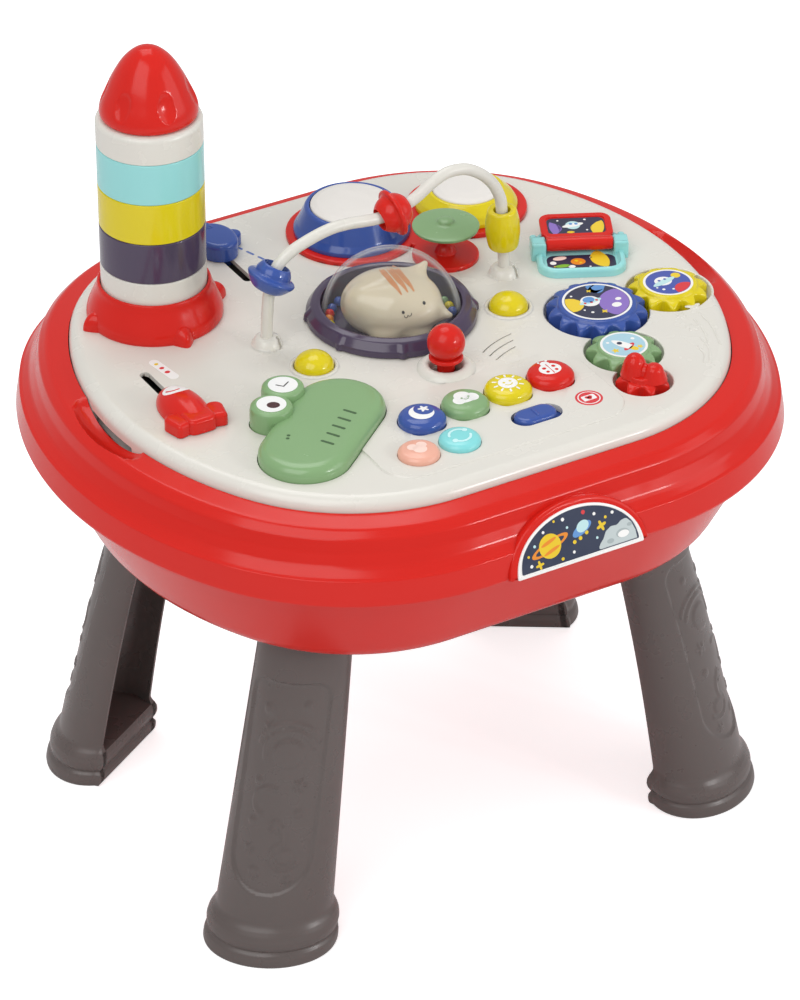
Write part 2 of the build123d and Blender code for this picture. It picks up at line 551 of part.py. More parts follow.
def make_nose():
    """Hollow bullet nose with oval dimples, which drops over the top ring's spigot."""
    low = STACK_H + 4 * RING_H + TOP_RING_H
    outer = [(27.6, low), (29.4, low + 2), (29.7, low + 5), (28.2, low + 10), (25.2, low + 16.5),
             (21.4, low + 26), (15.8, low + 35.5), (9.5, low + 41.8), (4, low + 44.4), (0, low + 45)]
    inner = [(0, low + 41), (8, low + 37), (SPIGOT_R - 6, low + 24), (SPIGOT_R + 0.4, low + 9),
             (SPIGOT_R + 0.4, low)]
    curve = Spline(*outer, tangents=[(1, 1), (-1, 0)])
    face = make_face([curve, Polyline(outer[-1], *inner, outer[0])])
    nose = up(*ROCKET) * revolve(Plane.XZ * face, Axis.Z)
    for bearing in (20, 110, 200, 290):
        dimple = Pos(26.6, 0, low + 16) * Rot(0, -24, 0) * egg(2.2, 4.4, 7.5)
        nose = nose - up(*ROCKET) * Rot(0, 0, bearing) * dimple
    return nose


# ---------------------------------------------------------------- beads on the arch
BEAD_BLUE, BEAD_YELLOW, BEAD_RED = (-76.4, 45.0), (85.6, 33.0), (8.0, 65.8)     # (x, h)
BEAD_LEAN = {"blue": 28.0, "yellow": -3.0, "red": 76.0}        # degrees each bead's axis leans to +X
BEAD_BORE = 5.2


def on_tube(bead, place, lean):
    """Put a bead, drawn about the local Z axis, on the arch's tube."""
    return up(place[0], ARCH_Y, place[1]) * Rot(0, lean, 0) * bead


def waisted_bore(half_length, mouth_r):
    """Bore that widens to both ends, so that the bead runs round the tube's bends."""
    ends = [(0, -half_length), (mouth_r, -half_length), (BEAD_BORE, -1), (BEAD_BORE, 1),
            (mouth_r, half_length), (0, half_length)]
    return revolve(Plane.XZ * make_face(Polyline(*ends, close=True)), Axis.Z)


def make_bead_blue():
    """Space-ship bead: a domed cabin on a wide brim, leaning with the tube."""
    profile = [(0, -7.5), (8.8, -7.5), (11, -5.6), (14.4, -1.4), (15.0, 0), (14.2, 1.4), (11.2, 2.2),
               (10.6, 4.8), (9.2, 7.8), (8.2, 8.6), (0, 8.6)]
    bead = revolve(Plane.XZ * make_face(Polyline(*profile, close=True)), Axis.Z) - waisted_bore(9.5, 8.0)
    return on_tube(bead, BEAD_BLUE, BEAD_LEAN["blue"])


def make_bead_red():
    """Ringed planet bead in the dip of the arch."""
    rim = [(8, -2.4), (14.6, -1.5), (15.2, 0), (14.6, 1.5), (8, 2.4)]
    bead = Sphere(12.0) + revolve(Plane.XZ * make_face(Polyline(*rim, close=True)), Axis.Z)
    return on_tube(bead - waisted_bore(12.5, 7.0), BEAD_RED, BEAD_LEAN["red"])


def make_bead_yellow():
    """Barrel bead with rounded ends."""
    profile = [(0, -13.5), (7.6, -13.5), (9.2, -12.6), (10.4, -7), (10.8, 0), (10.2, 7), (8.8, 12.6),
               (7.4, 13.5), (0, 13.5)]
    bead = revolve(Plane.XZ * make_face(Polyline(*profile, close=True)), Axis.Z) - Cylinder(BEAD_BORE, 60)
    return on_tube(bead, BEAD_YELLOW, BEAD_LEAN["yellow"])


# ---------------------------------------------------------------- drums
def make_drum_plate():
    """Red three-lobed plate under the drums, with the cymbal's post."""
    face = Pos(*DRUM_BLUE) * Circle(41.5) + Pos(*DRUM_YELLOW) * Circle(38.5) + Pos(*CYMBAL) * Circle(20.8)
    face = face + Polygon(DRUM_BLUE, CYMBAL, DRUM_YELLOW, align=None)
    plate = prism(face, 0, 3)
    post = lathe([(0, 2), (7.5, 2), (6, 6), (4.2, 9), (4.0, 18), (0, 18)], CYMBAL)
    pin = rod(2.4, 17, 25, CYMBAL)
    return soften(plate, 1.2, 3) + post + pin


def make_drum_shell(at, base_r, pad_r, height):
    """Flared drum body with a well for its pad; the top slopes a little to the user."""
    body = lathe([(0, 3), (base_r, 3), (base_r, 6), (base_r - 1.5, 10), (pad_r + 3.4, height - 1),
                  (pad_r + 2.0, height), (0, height)], at)
    well = rod(pad_r + GAP, height - 7, height + 5, at)
    return body - well


def make_drum_pad(at, pad_r, height):
    """Soft white playing pad, slightly crowned, that sinks when it is hit."""
    low = height - 3.4
    return lathe([(0, low), (pad_r, low), (pad_r, height + 0.2), (pad_r - 1.4, height + 1.4),
                  (pad_r * 0.6, height + 2.4), (0, height + 2.8)], at)


def make_cymbal():
    """Green disc with a nub, turning on the post's pin."""
    disc = lathe([(2.46, 18.4), (12, 18.8), (19.8, 20.2), (20.7, 21.4), (20.2, 22.4), (12, 23.4), (5.5, 23.8),
                  (4.6, 26), (3.5, 26.8), (0, 27), (0, 25.4), (2.46, 25.4)], CYMBAL)
    return disc


# ---------------------------------------------------------------- dome
def make_dome_ring():
    """Dark turning ring with grip bumps; its skirt passes down through the board."""
    ring = lathe([(43.1, -7), (46.2, -7), (46.2, 0.5), (52.4, 0.5), (52.6, 2), (51.2, 6), (48.2, 9.2),
                  (45.2, 10.4), (43.6, 10.2), (43.1, 9.2)], DOME)
    for i in range(8):
        angle = 22.5 + 45 * i
        bump = up(*DOME) * Rot(0, 0, angle) * Pos(50.0, 0, 4.4) * Rot(0, -20, 0) * Cylinder(2.6, 10)
        cut = rod(60, 0.5, 9.2, DOME) - rod(45.5, 0, 20, DOME)
        ring = ring + (bump & cut)
    return ring


def make_clear_dome():
    """Clear thin dome with a short straight skirt, which stands on the turntable inside the ring."""
    inner_r = DOME_R - 1.6
    outer = ball(DOME_R, DOME[0], DOME[1], 0) + rod(DOME_R, DOME_FLOOR_H, 0, DOME)
    outer = outer - ball(inner_r, DOME[0], DOME[1], 0) - rod(inner_r, DOME_FLOOR_H - 1, 0, DOME)
    return outer - rod(60, -60, DOME_FLOOR_H, DOME)


def make_turntable():
    """Floor of the dome, which turns with the ring and holds it under the board."""
    return rod(50, -9.4, -7, DOME) + rod(42.4, -7.2, DOME_FLOOR_H, DOME)


def egg(rx, ry, rz):
    return scale(Sphere(1.0), by=(rx, ry, rz))


def horn(base, tip, base_r, tip_r):
    """Round-tipped cone from one point to another."""
    axis = Vector(*tip) - Vector(*base)
    cone = Plane(origin=base, z_dir=axis) * Cone(base_r, tip_r, axis.length, align=STAND)
    return cone + Pos(*tip) * Sphere(tip_r)


CAT_TURN = -30.3       # degrees, the long axis of the cat from +X


def make_cat():
    """Cat curled up on its side: one smooth loaf, two ears, and the tips of its paws."""
    cat = Pos(0, 0, 8.5) * egg(31, 25, 21)
    cat = cat + horn((12.5, 8.5, 20), (20.2, 15.0, 27.4), 9.5, 1.9)
    cat = cat + horn((22, -8, 8), (35.4, -10.4, 5.8), 9.0, 1.9)
    for x, y in ((-3.5, -20.5), (16, -17.5)):
        cat = cat + Pos(x, y, -2) * egg(8, 5.5, 4.5)
    floor = Pos(0, 0, DOME_FLOOR_H) * Box(120, 120, 60, align=STAND)
    return up(*DOME) * Rot(0, 0, CAT_TURN) * (cat & floor)


def make_balls():
    """Small rattle balls lying round the cat."""
    balls = []
    for i, angle in enumerate((100, 118, 140, 158, 176, 192, 206, 222, 240, 262, 300, 342, 2, 22, 66, 82)):
        reach = 38.0
        x, y = DOME[0] + reach * cos(radians(angle)), DOME[1] + reach * sin(radians(angle))
        balls.append(ball(3.1, x, y, DOME_FLOOR_H + 3.1))
    return Compound(children=balls)


# ---------------------------------------------------------------- joystick
def make_joystick():
    """Red ball on a collar, with a stem that reaches down to the gimbal."""
    x, y = STICK
    knob = ball(BALL_R, x, y, BALL_H)
    collar = lathe([(0, 6.2), (8.6, 6.8), (10.2, 7.4), (10.3, 8.6), (9.0, 10), (0, 10)], STICK)
    stem = rod(3.0, -13, 8, STICK)
    eye = up(x, y, -12) * Rot(0, 90, 0) * Cylinder(3.6, 5)
    pin = up(x, y, -12) * Rot(0, 90, 0) * Cylinder(1.2, 13.6)
    return knob + collar + stem + eye + pin


def make_gimbal():
    """Square gimbal ring: the stick tilts in it about X, and it tilts about Y."""
    x, y = STICK
    ring = up(x, y, -12) * (Box(16, 13, 4.4) - Box(11, 9, 10))
    ring = ring - up(x, y, -12) * Rot(0, 90, 0) * Cylinder(1.26, 30)
    for side in (-1, 1):
        ring = ring + up(x, y + side * 8.5, -12) * Rot(90, 0, 0) * Cylinder(1.2, 5.4)
    return ring


def make_gimbal_frame():
    """Fork under the board that carries the gimbal's pins."""
    x, y = STICK
    frame = up(x, y, -9.6) * (Box(30, 25, 13.2) - Box(24, 16.4, 20))
    frame = frame - up(x, y, -12) * Rot(90, 0, 0) * Cylinder(1.26, 60)
    return frame


# ---------------------------------------------------------------- buttons, frog, switch, sliders
def make_dome_button(side):
    """Half-ball push button with a flange under the board."""
    r = 12.0
    low = -3 - TRAVEL - 3.2
    profile = [(0, low), (13.6, low), (13.6, -3.3), (r, -3.3), (r, 0.4)]
    profile += [(r * cos(radians(a)), 0.4 + 9.4 * sin(radians(a))) for a in (15, 30, 45, 60, 75, 88)]
    return lathe(profile + [(0, 9.8)], (side * DOME_BUTTON, DOME_BUTTON_Y))


def make_frog():
    """Green frog pad with pillowed edges, two raised eyes and five mouth slots."""
    pad = prism(capsule(FROG_A, FROG_B, FROG_R), -5, 9.4)
    pad = soften(pad, 6.0, 9.4)
    for x, y in FROG_EYES:
        eye = lathe([(0, -5), (13.0, -5), (13.0, 9.5), (12.2, 12.2), (10.4, 13.6), (0, 13.6)], (x, y))
        pad = pad + eye
    pad = pad + prism(frog_outline(1.2), -5, -3.4)
    ax, ay = (FROG_B[0] - FROG_A[0]) / 51.0, (FROG_B[1] - FROG_A[1]) / 51.0
    for i in range(-2, 3):
        x, y = -96.4 + 9.0 * i * ax, -95.0 + 9.0 * i * ay
        slot = turned(x, y, 9.4, degrees(atan2(ay, ax)) + 82) * extrude(SlotOverall(9.5, 2.4), -1.2)
        pad = pad - slot
    return pad


def make_button(at):
    """Rounded push button with a pillowed top and a flange under the board."""
    cap = soften(prism(button_outline(at), -3.4, 7.4), 3.6, 7.4)
    flange = prism(button_outline(at, 0.8), -3 - TRAVEL - 3, -3.3)
    return cap + flange


def make_small_button(x):
    """Low round push button with a flange under the board."""
    low = -3 - TRAVEL - 3
    return lathe([(0, low), (13.5, low), (13.5, -3.3), (12.5, -3.3), (12.5, 2.6), (11.6, 4.2), (9.8, 5.2),
                  (0, 5.8)], (x, SMALL_BUTTON_Y))


def make_switch():
    """Sliding switch: a pill knob on a plate that runs under the board."""
    knob = soften(prism(Pos(SWITCH[0] - 1.0, SWITCH[1]) * SlotOverall(27, 15.6), -4, 3.2), 2.2, 3.2)
    plate = prism(Pos(SWITCH[0] - 1.0, SWITCH[1]) * RectangleRounded(44, 22, 4), -5.6, -3.4)
    return knob + plate


def make_slider_red():
    """Rocket-shaped slider knob: a rounded body, a tail and two fins, on a stem through its slot."""
    x, y = SLIDER_RED_X, -27.0
    above = up(x, y, 0.5) * Box(80, 90, 40, align=STAND)
    body = up(x, y + 3.5, 0.5) * egg(14.0, 25.5, 12.5) & above
    tail = Pos(x, y - 13) * RectangleRounded(20, 15, 4)
    knob = body + soften(prism(tail, 0.5, 8), 2, 8)
    for side in (-1, 1):
        fin = capsule((x + side * 14.0, y - 14.5), (x + side * 11.5, y - 3), 6.0)
        knob = knob + soften(prism(fin, 0.5, 9.5), 3, 9.5)
    knob = knob + prism(Pos(x, y - 2) * RectangleRounded(SLOT_W - 0.5, 16, 2.5), -4, 2)
    plate = prism(Pos(x, y - 2) * RectangleRounded(18, 24, 3), -6, -3.4)
    return knob + plate


def make_slider_blue():
    """Shuttle-shaped slider knob, on a stem through its slot."""
    x, y = SLIDER_BLUE_X, 134.0
    body = Pos(x, y + 1) * Ellipse(12.5, 16.5) + Pos(x, y + 3) * Ellipse(18, 8)
    knob = soften(prism(body, 0.5, 12), 3, 12)
    knob = knob + prism(Pos(x, y) * RectangleRounded(SLOT_W - 0.5, 12, 2.5), -4, 2)
    plate = prism(Pos(x, y) * RectangleRounded(18, 20, 3), -6, -3.4)
    return knob + plate


# ---------------------------------------------------------------- flip book
PIN_R = 2.0


def book(shape):
    """Place a shape drawn with the hinge line on local X, the fore side at -Y and the board at z 0."""
    return turned(HINGE[0], HINGE[1], 0, BOOK_TURN) * shape


def make_book_frame():
    """Turquoise tray with a round-cornered border and two hinge blocks."""
    tray = extrude(Pos(0, -2.5) * RectangleRounded(55, 50, 12), 5.6)
    tray = fillet(tray.faces().sort_by(Axis.Z)[-1].edges(), 2.2)
    tray = tray - Pos(0, -2.5, 2.8) * extrude(RectangleRounded(45, 40, 8), 6)
    for side in (-1, 1):
        block = Pos(side * 25.6, 0, 0) * Box(9.2, 11, 11.6, align=STAND)
        block = fillet(block.edges().filter_by(Axis.X), 2.5)
        tray = tray + block
    bore = Pos(0, 0, BOOK_HINGE_H) * Rot(0, 90, 0) * Cylinder(PIN_R + 0.06, 56)
    return book(tray - bore)


def make_book_page():
    """Red page on its hinge roll, resting tilted back, with a recess for its picture."""
    roll = Pos(0, 0, BOOK_HINGE_H) * Rot(0, 90, 0) * Cylinder(4.4, 41.2)
    pins = Pos(0, 0, BOOK_HINGE_H) * Rot(0, 90, 0) * Cylinder(PIN_R, 52)
    leaf = extrude(Pos(0, 20.5) * RectangleRounded(45, 28, 7), 3.0)
    leaf = leaf + extrude(Pos(0, 5) * Rectangle(40.6, 10), 3.0)
    leaf = leaf - Pos(0, 0, 2.2) * extrude(Pos(0, 18.6) * RectangleRounded(36.5, 21, 4), 3)
    leaf = Pos(0, 0, BOOK_HINGE_H - 2.0) * Rot(2, 0, 0) * leaf
    return book(roll + pins + leaf)


# ---------------------------------------------------------------- inner works
def make_circuit():
    """Circuit board with its chips, under the push buttons."""
    x, y = CIRCUIT
    board = up(x, y, CIRCUIT_H) * Box(*CIRCUIT_SIZE, 1.6)
    for along, across, w, d in ((-40, 6, 16, 12), (10, 12, 12, 12), (45, 2, 10, 8)):
        board = board + up(x + along, y + across, CIRCUIT_H - 1.8) * Box(w, d, 2.2)
    return board


def make_keypad():
    """Rubber keypad: a mat on the circuit board with a soft dome under each button."""
    low, seat = CIRCUIT_H + 0.8, -3 - TRAVEL - 3 - 0.2 - TRAVEL
    mat = up(CIRCUIT[0], CIRCUIT[1], low + 0.75) * Box(CIRCUIT_SIZE[0] - 2, CIRCUIT_SIZE[1] - 4, 1.5)
    places = list(BUTTONS.values()) + [(x, SMALL_BUTTON_Y) for x in SMALL_BUTTON_X.values()]
    for at in places:
        mat = mat + lathe([(0, low), (8, low), (6, seat), (0, seat)], at)
    return mat


def make_speaker():
    """Small round speaker on the pan's floor."""
    return lathe([(0, PAN_H + 2.4), (25, PAN_H + 2.4), (25, PAN_H + 6), (19, PAN_H + 9), (13, PAN_H + 17),
                  (0, PAN_H + 17)], SPEAKER)


def make_all():
    save("lower_tub", make_tub())
    save("rim_shell", make_rim())
    save("front_badge", make_badge())
    for name, sx, sy in (("leg_front_left", -1, -1), ("leg_front_right", 1, -1), ("leg_back_left", -1, 1),
                         ("leg_back_right", 1, 1)):
        save(name, make_leg(sx, sy))
    save("top_panel", make_board())
    save("back_pan", make_pan())
    save("battery_box", make_battery_box())
    save("battery_cells", make_cells())
    save("battery_door", make_door())
    save("circuit_board", make_circuit())
    save("rubber_keypad", make_keypad())
    save("speaker", make_speaker())
    save("bead_arch", make_arch())
    save("bead_blue", make_bead_blue())
    save("bead_red", make_bead_red())
    save("bead_yellow", make_bead_yellow())
    save("rocket_base", make_rocket_base())
    for number, name in enumerate(("white_bottom", "purple", "yellow", "turquoise", "white_top")):
        save(f"ring_{name}", make_ring(number))
    save("nose_cone", make_nose())
    save("drum_plate", make_drum_plate())
    save("drum_shell_blue", make_drum_shell(DRUM_BLUE, 36.6, 26.0, 21.0))
    save("drum_shell_yellow", make_drum_shell(DRUM_YELLOW, 32.4, 21.5, 15.0))
    save("drum_pad_blue", make_drum_pad(DRUM_BLUE, 26.0, 21.0))
    save("drum_pad_yellow", make_drum_pad(DRUM_YELLOW, 21.5, 15.0))
    save("cymbal", make_cymbal())
    save("dome_ring", make_dome_ring())
    save("clear_dome", make_clear_dome())
    save("turntable", make_turntable())
    save("cat_figure", make_cat())
    save("rattle_balls", make_balls())
    save("joystick", make_joystick())
    save("joystick_gimbal", make_gimbal())
    save("gimbal_frame", make_gimbal_frame())
    save("dome_button_left", make_dome_button(-1))
    save("dome_button_right", make_dome_button(1))
    save("frog_pad", make_frog())
    for name, at in BUTTONS.items():
        save(f"button_{name}", make_button(at))
    for name, x in SMALL_BUTTON_X.items():
        save(f"button_{name}", make_small_button(x))
    save("slide_switch", make_switch())
    save("slider_red", make_slider_red())
    save("slider_blue", make_slider_blue())
    for name in TEETH:
        save(f"gear_{name}", make_gear(name))
    save("book_frame", make_book_frame())
    save("book_page", make_book_page())
    save("board_screws", make_screws(BOARD_SCREWS, BOSS_H - 3, -12))
    leg_places = [leg_axis(sx, sy, LEG_H + PLUG) for sx in (-1, 1) for sy in (-1, 1)]
    save("leg_screws", make_screws(leg_places, LEG_TOP_H + 2.6, LEG_TOP_H - 9))


if __name__ == "__main__":
    make_all()
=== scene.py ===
"""Musical activity table: the looks of every piece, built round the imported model.

The file goes from the rim and its badge to the tub, the board and the legs, then from toy to toy over the
board, and ends with what lies inside.  Metres, +Z up, origin on the floor under the middle of the table,
the user at -Y.  Heights called h are measured in millimetres from the flat top of the board, and plan sizes
are in millimetres too, turned to metres where a mesh is made.
"""
import json
from math import atan2, cos, degrees, pi, radians, sin

import bmesh
import bpy
import numpy as np
from mathutils import Matrix, Vector


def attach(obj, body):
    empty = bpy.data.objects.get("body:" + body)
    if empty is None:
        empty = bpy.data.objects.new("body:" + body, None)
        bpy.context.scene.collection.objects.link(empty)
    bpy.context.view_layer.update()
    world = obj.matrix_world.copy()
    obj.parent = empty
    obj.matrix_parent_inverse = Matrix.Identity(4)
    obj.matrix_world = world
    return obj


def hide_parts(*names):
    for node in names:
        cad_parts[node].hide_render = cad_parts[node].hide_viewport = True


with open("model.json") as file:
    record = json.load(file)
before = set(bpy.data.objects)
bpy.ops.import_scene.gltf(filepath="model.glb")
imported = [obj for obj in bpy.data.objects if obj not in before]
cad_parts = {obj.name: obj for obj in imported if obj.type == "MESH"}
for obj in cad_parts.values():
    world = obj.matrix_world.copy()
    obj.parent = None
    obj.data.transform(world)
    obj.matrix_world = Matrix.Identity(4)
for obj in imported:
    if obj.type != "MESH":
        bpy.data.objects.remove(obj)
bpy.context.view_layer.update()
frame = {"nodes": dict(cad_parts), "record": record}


# ------------------------------------------------------------------ camera, floor and light
# A long lens from the user's left, about twice a child's height away.  The floor and the air behind it
# are white to the camera only, and a big soft lamp above the left shoulder gives the plastic its sheen.
TURN, DIP, LENS_PX, REACH = radians(30.3), radians(33.0), 5000.0, 3.034
ahead = Vector((sin(TURN) * cos(DIP), cos(TURN) * cos(DIP), -sin(DIP)))
right = Vector((cos(TURN), -sin(TURN), 0.0))
above = right.cross(ahead)
AIM, AIM_X, AIM_Y = Vector((0.0098, 0.0015, 0.330)), 412 - 400, 500 - 320
eye = AIM - ahead * REACH - right * (AIM_X / LENS_PX * REACH) - above * (AIM_Y / LENS_PX * REACH)
lens = bpy.data.cameras.new("camera")
lens.sensor_fit = "VERTICAL"
lens.sensor_height = 36.0
lens.lens = 36.0 * LENS_PX / 1000
lens.clip_end = 50.0
camera = bpy.data.objects.new("camera", lens)
camera.matrix_world = Matrix.Translation(eye) @ Matrix((right, above, -ahead)).transposed().to_4x4()
bpy.context.scene.collection.objects.link(camera)
bpy.context.scene.camera = camera
bpy.context.scene.view_settings.view_transform = "Standard"


def colour(hexed):
    """Linear RGBA of an sRGB colour written as RRGGBB."""
    parts = [int(hexed[i:i + 2], 16) / 255 for i in (0, 2, 4)]
    return [p / 12.92 if p <= 0.04045 else ((p + 0.055) / 1.055) ** 2.4 for p in parts] + [1.0]


def add_node(tree, kind, values={}, links={}, **settings):
    """Add a shader node: settings on the node, values and links on its inputs."""
    made = tree.nodes.new("ShaderNode" + kind)
    for name, value in settings.items():
        setattr(made, name, value)
    for socket, value in values.items():
        made.inputs[socket].default_value = value
    for socket, source in links.items():
        tree.links.new(source, made.inputs[socket])
    return made


def lamp(name, place, aim, size, power, tint="FFFFFF"):
    """Soft square area lamp."""
    light = bpy.data.lights.new(name, "AREA")
    light.size = size
    light.energy = power
    light.color = colour(tint)[:3]
    holder = bpy.data.objects.new(name, light)
    holder.location = place
    holder.rotation_euler = (Vector(aim) - Vector(place)).to_track_quat("-Z", "Y").to_euler()
    bpy.context.scene.collection.objects.link(holder)


lamp("key", (-1.6, -0.9, 2.2), (0, 0, 0.25), 2.0, 29.0)
lamp("fill", (1.9, -1.6, 1.3), (0, 0, 0.25), 1.6, 11.0)
lamp("top", (0.2, 0.9, 2.4), (0, 0, 0.3), 1.4, 15.0)
# two bright panes of one window, which glint in every rounded gloss
for number, turn in enumerate((-58.5, -66.0)):
    pane = Vector((cos(radians(turn)) * 0.946, sin(radians(turn)) * 0.946, 0.324)) * 2.6
    lamp("pane_%d" % number, pane + Vector((0, 0, 0.3)), (0, 0, 0.3), 0.15, 5.5)

world = bpy.data.worlds.new("white studio")
bpy.context.scene.world = world
world.use_nodes = True
world.node_tree.nodes.clear()
seen = add_node(world.node_tree, "LightPath")
open_air = add_node(world.node_tree, "Math", {},
                    {0: seen.outputs["Is Camera Ray"], 1: seen.outputs["Is Transmission Ray"]},
                    operation="MAXIMUM")
studio = add_node(world.node_tree, "Background", {"Color": colour("F4F4F6"), "Strength": 0.55})
white_air = add_node(world.node_tree, "Background", {"Color": (1, 1, 1, 1), "Strength": 1.0})
either = add_node(world.node_tree, "MixShader", {},
                  {0: open_air.outputs[0], 1: studio.outputs[0], 2: white_air.outputs[0]})
add_node(world.node_tree, "OutputWorld", {}, {"Surface": either.outputs[0]})

floor_mesh = bpy.data.meshes.new("floor")
floor_mesh.from_pydata([(-6, -6, 0), (6, -6, 0), (6, 6, 0), (-6, 6, 0)], [], [(0, 1, 2, 3)])
floor = bpy.data.objects.new("floor", floor_mesh)
bpy.context.scene.collection.objects.link(floor)
paint = bpy.data.materials.new("white painted floor")
paint.use_nodes = True
tree = paint.node_tree
tree.nodes.clear()
seen = add_node(tree, "LightPath")
lift = add_node(tree, "Math", {1: 0.6}, {0: seen.outputs["Is Camera Ray"]}, operation="MULTIPLY")
matt = add_node(tree, "BsdfDiffuse", {"Color": colour("EFEFEF")})
glow = add_node(tree, "Emission", {"Color": (1, 1, 1, 1)}, {"Strength": lift.outputs[0]})
both = add_node(tree, "AddShader", {}, {0: matt.outputs[0], 1: glow.outputs[0]})
add_node(tree, "OutputMaterial", {}, {"Surface": both.outputs[0]})
floor_mesh.materials.append(paint)


# ------------------------------------------------------------------ moulded plastics
# Injection-moulded ABS and polypropylene: an even, slightly oily gloss over a very faint ripple that the
# cooled skin leaves, with polish that varies a little from place to place.
def moulded(name, hexed, roughness=0.13, ripple=0.004, ripple_mm=2.4, cloud=0.01, sheen=0.5):
    """Moulded plastic of one colour.  ripple is the bump of the cooled skin, ripple_mm its spacing."""
    material = bpy.data.materials.new(name)
    material.use_nodes = True
    tree = material.node_tree
    tree.nodes.clear()
    place = add_node(tree, "TexCoord").outputs["Object"]
    patch = add_node(tree, "TexNoise", {"Scale": 22.0, "Detail": 2.0}, {"Vector": place})
    tone = add_node(tree, "MapRange",
                    {"From Min": 0.3, "From Max": 0.7, "To Min": 1 - cloud, "To Max": 1 + cloud},
                    {"Value": patch.outputs["Fac"]})
    shade = add_node(tree, "HueSaturation", {"Color": colour(hexed)}, {"Value": tone.outputs[0]})
    smear = add_node(tree, "TexNoise", {"Scale": 60.0, "Detail": 3.0}, {"Vector": place})
    polish = add_node(tree, "MapRange", {"From Min": 0.35, "From Max": 0.7,
                                         "To Min": roughness * 0.85, "To Max": roughness * 1.25},
                      {"Value": smear.outputs["Fac"]})
    skin_noise = add_node(tree, "TexNoise", {"Scale": 1000.0 / ripple_mm / 2, "Detail": 1.0},
                          {"Vector": place})
    bump = add_node(tree, "Bump", {"Strength": ripple, "Distance": 0.0004},
                    {"Height": skin_noise.outputs["Fac"]})
    surface = add_node(tree, "BsdfPrincipled", {"IOR": 1.5, "Specular IOR Level": sheen},
                       {"Base Color": shade.outputs[0], "Roughness": polish.outputs[0],
                        "Normal": bump.outputs[0]})
    add_node(tree, "OutputMaterial", {}, {"Surface": surface.outputs[0]})
    return material


red_abs = moulded("red ABS", "D4241B", 0.17, 0.004, 2.4, 0.01, 0.28)


# ------------------------------------------------------------------ rim and badge
# The upper red moulding: a crest round the board, a hollow flank that flares out to a ledge, and a
# deep lip band.  Glossy ABS, one shot; each end has a finger scoop and the front a flat pad, on which
# the printed badge is stuck.
MM, BOARD_Z = 0.001, 330.0
HALF_X, HALF_Y, FLAT, CORNER_R = 198.0, 172.0, 60.0, 125.0
CORNER_Y = HALF_Y - CORNER_R
SIDE_R = ((HALF_X - FLAT) ** 2 + CORNER_Y ** 2 - CORNER_R ** 2) / (2 * (HALF_X - FLAT - CORNER_R))
SIDE_X = HALF_X - SIDE_R
SPREAD = atan2(CORNER_Y, FLAT - SIDE_X)


def outline(step_mm=3.0):
    """Points and outward normals round the board's outline, counter-clockwise from the right-hand end:
    arcs about their centres, place = centre + radius (cos a, sin a), and the straight front and back."""
    places, outward = [], []
    arcs = [(SIDE_X, 0, SIDE_R, -SPREAD, SPREAD), (FLAT, CORNER_Y, CORNER_R, SPREAD, pi / 2), None,
            (-FLAT, CORNER_Y, CORNER_R, pi / 2, pi - SPREAD), (-SIDE_X, 0, SIDE_R, pi - SPREAD, pi + SPREAD),
            (-FLAT, -CORNER_Y, CORNER_R, pi + SPREAD, 1.5 * pi), None,
            (FLAT, -CORNER_Y, CORNER_R, 1.5 * pi, 2 * pi - SPREAD)]
    for number, arc in enumerate(arcs):
        side = 1 if number == 2 else -1
        if arc is None:
            t = np.linspace(0, 1, int(2 * FLAT / step_mm), endpoint=False)
            places.append(np.stack([side * FLAT * (1 - 2 * t), np.full_like(t, side * HALF_Y)], -1))
            outward.append(np.stack([0 * t, np.full_like(t, side)], -1))
        else:
            x, y, radius, low, high = arc
            a = np.linspace(low, high, int(radius * (high - low) / step_mm), endpoint=False)
            around = np.stack([np.cos(a), np.sin(a)], -1)
            places.append(np.array([x, y]) + radius * around)
            outward.append(around)
    return np.concatenate(places), np.concatenate(outward)


def rounded(points, radii, steps=6):
    """Polyline whose corners are arcs tangent to both sides; radii gives {corner number: radius}."""
    points = [np.array(p, float) for p in points]
    line = []
    for number, corner in enumerate(points):
        radius = radii.get(number, 0)
        if not radius or number in (0, len(points) - 1):
            line.append(corner)
            continue
        back, on = points[number - 1] - corner, points[number + 1] - corner
        room = min(np.linalg.norm(back), np.linalg.norm(on)) * 0.49
        back, on = back / np.linalg.norm(back), on / np.linalg.norm(on)
        half = np.arccos(np.clip(back @ on, -1, 1)) / 2
        reach = min(radius / np.tan(half), room)
        middle = corner + (back + on) / np.linalg.norm(back + on) * reach / np.cos(half)
        first, last = corner + back * reach - middle, corner + on * reach - middle
        turn = np.arctan2(first[0] * last[1] - first[1] * last[0], first @ last)
        a = np.linspace(0, turn, steps + 1)[:, None]
        line += list(middle + first * np.cos(a) + np.array([-first[1], first[0]]) * np.sin(a))
    return np.array(line)


def skin(grid, wrap_along=False, wrap_across=False):
    """Quads over a grid of places, grid[i, j] being the i-th step along and the j-th across."""
    rows, columns = grid.shape[:2]
    i = np.arange(rows if wrap_along else rows - 1)[:, None]
    j = np.arange(columns if wrap_across else columns - 1)[None, :]
    i_on, j_on = (i + 1) % rows, (j + 1) % columns
    quads = np.stack([i * columns + j, i_on * columns + j, i_on * columns + j_on, i * columns + j_on], -1)
    return grid.reshape(-1, 3), quads.reshape(-1, 4)


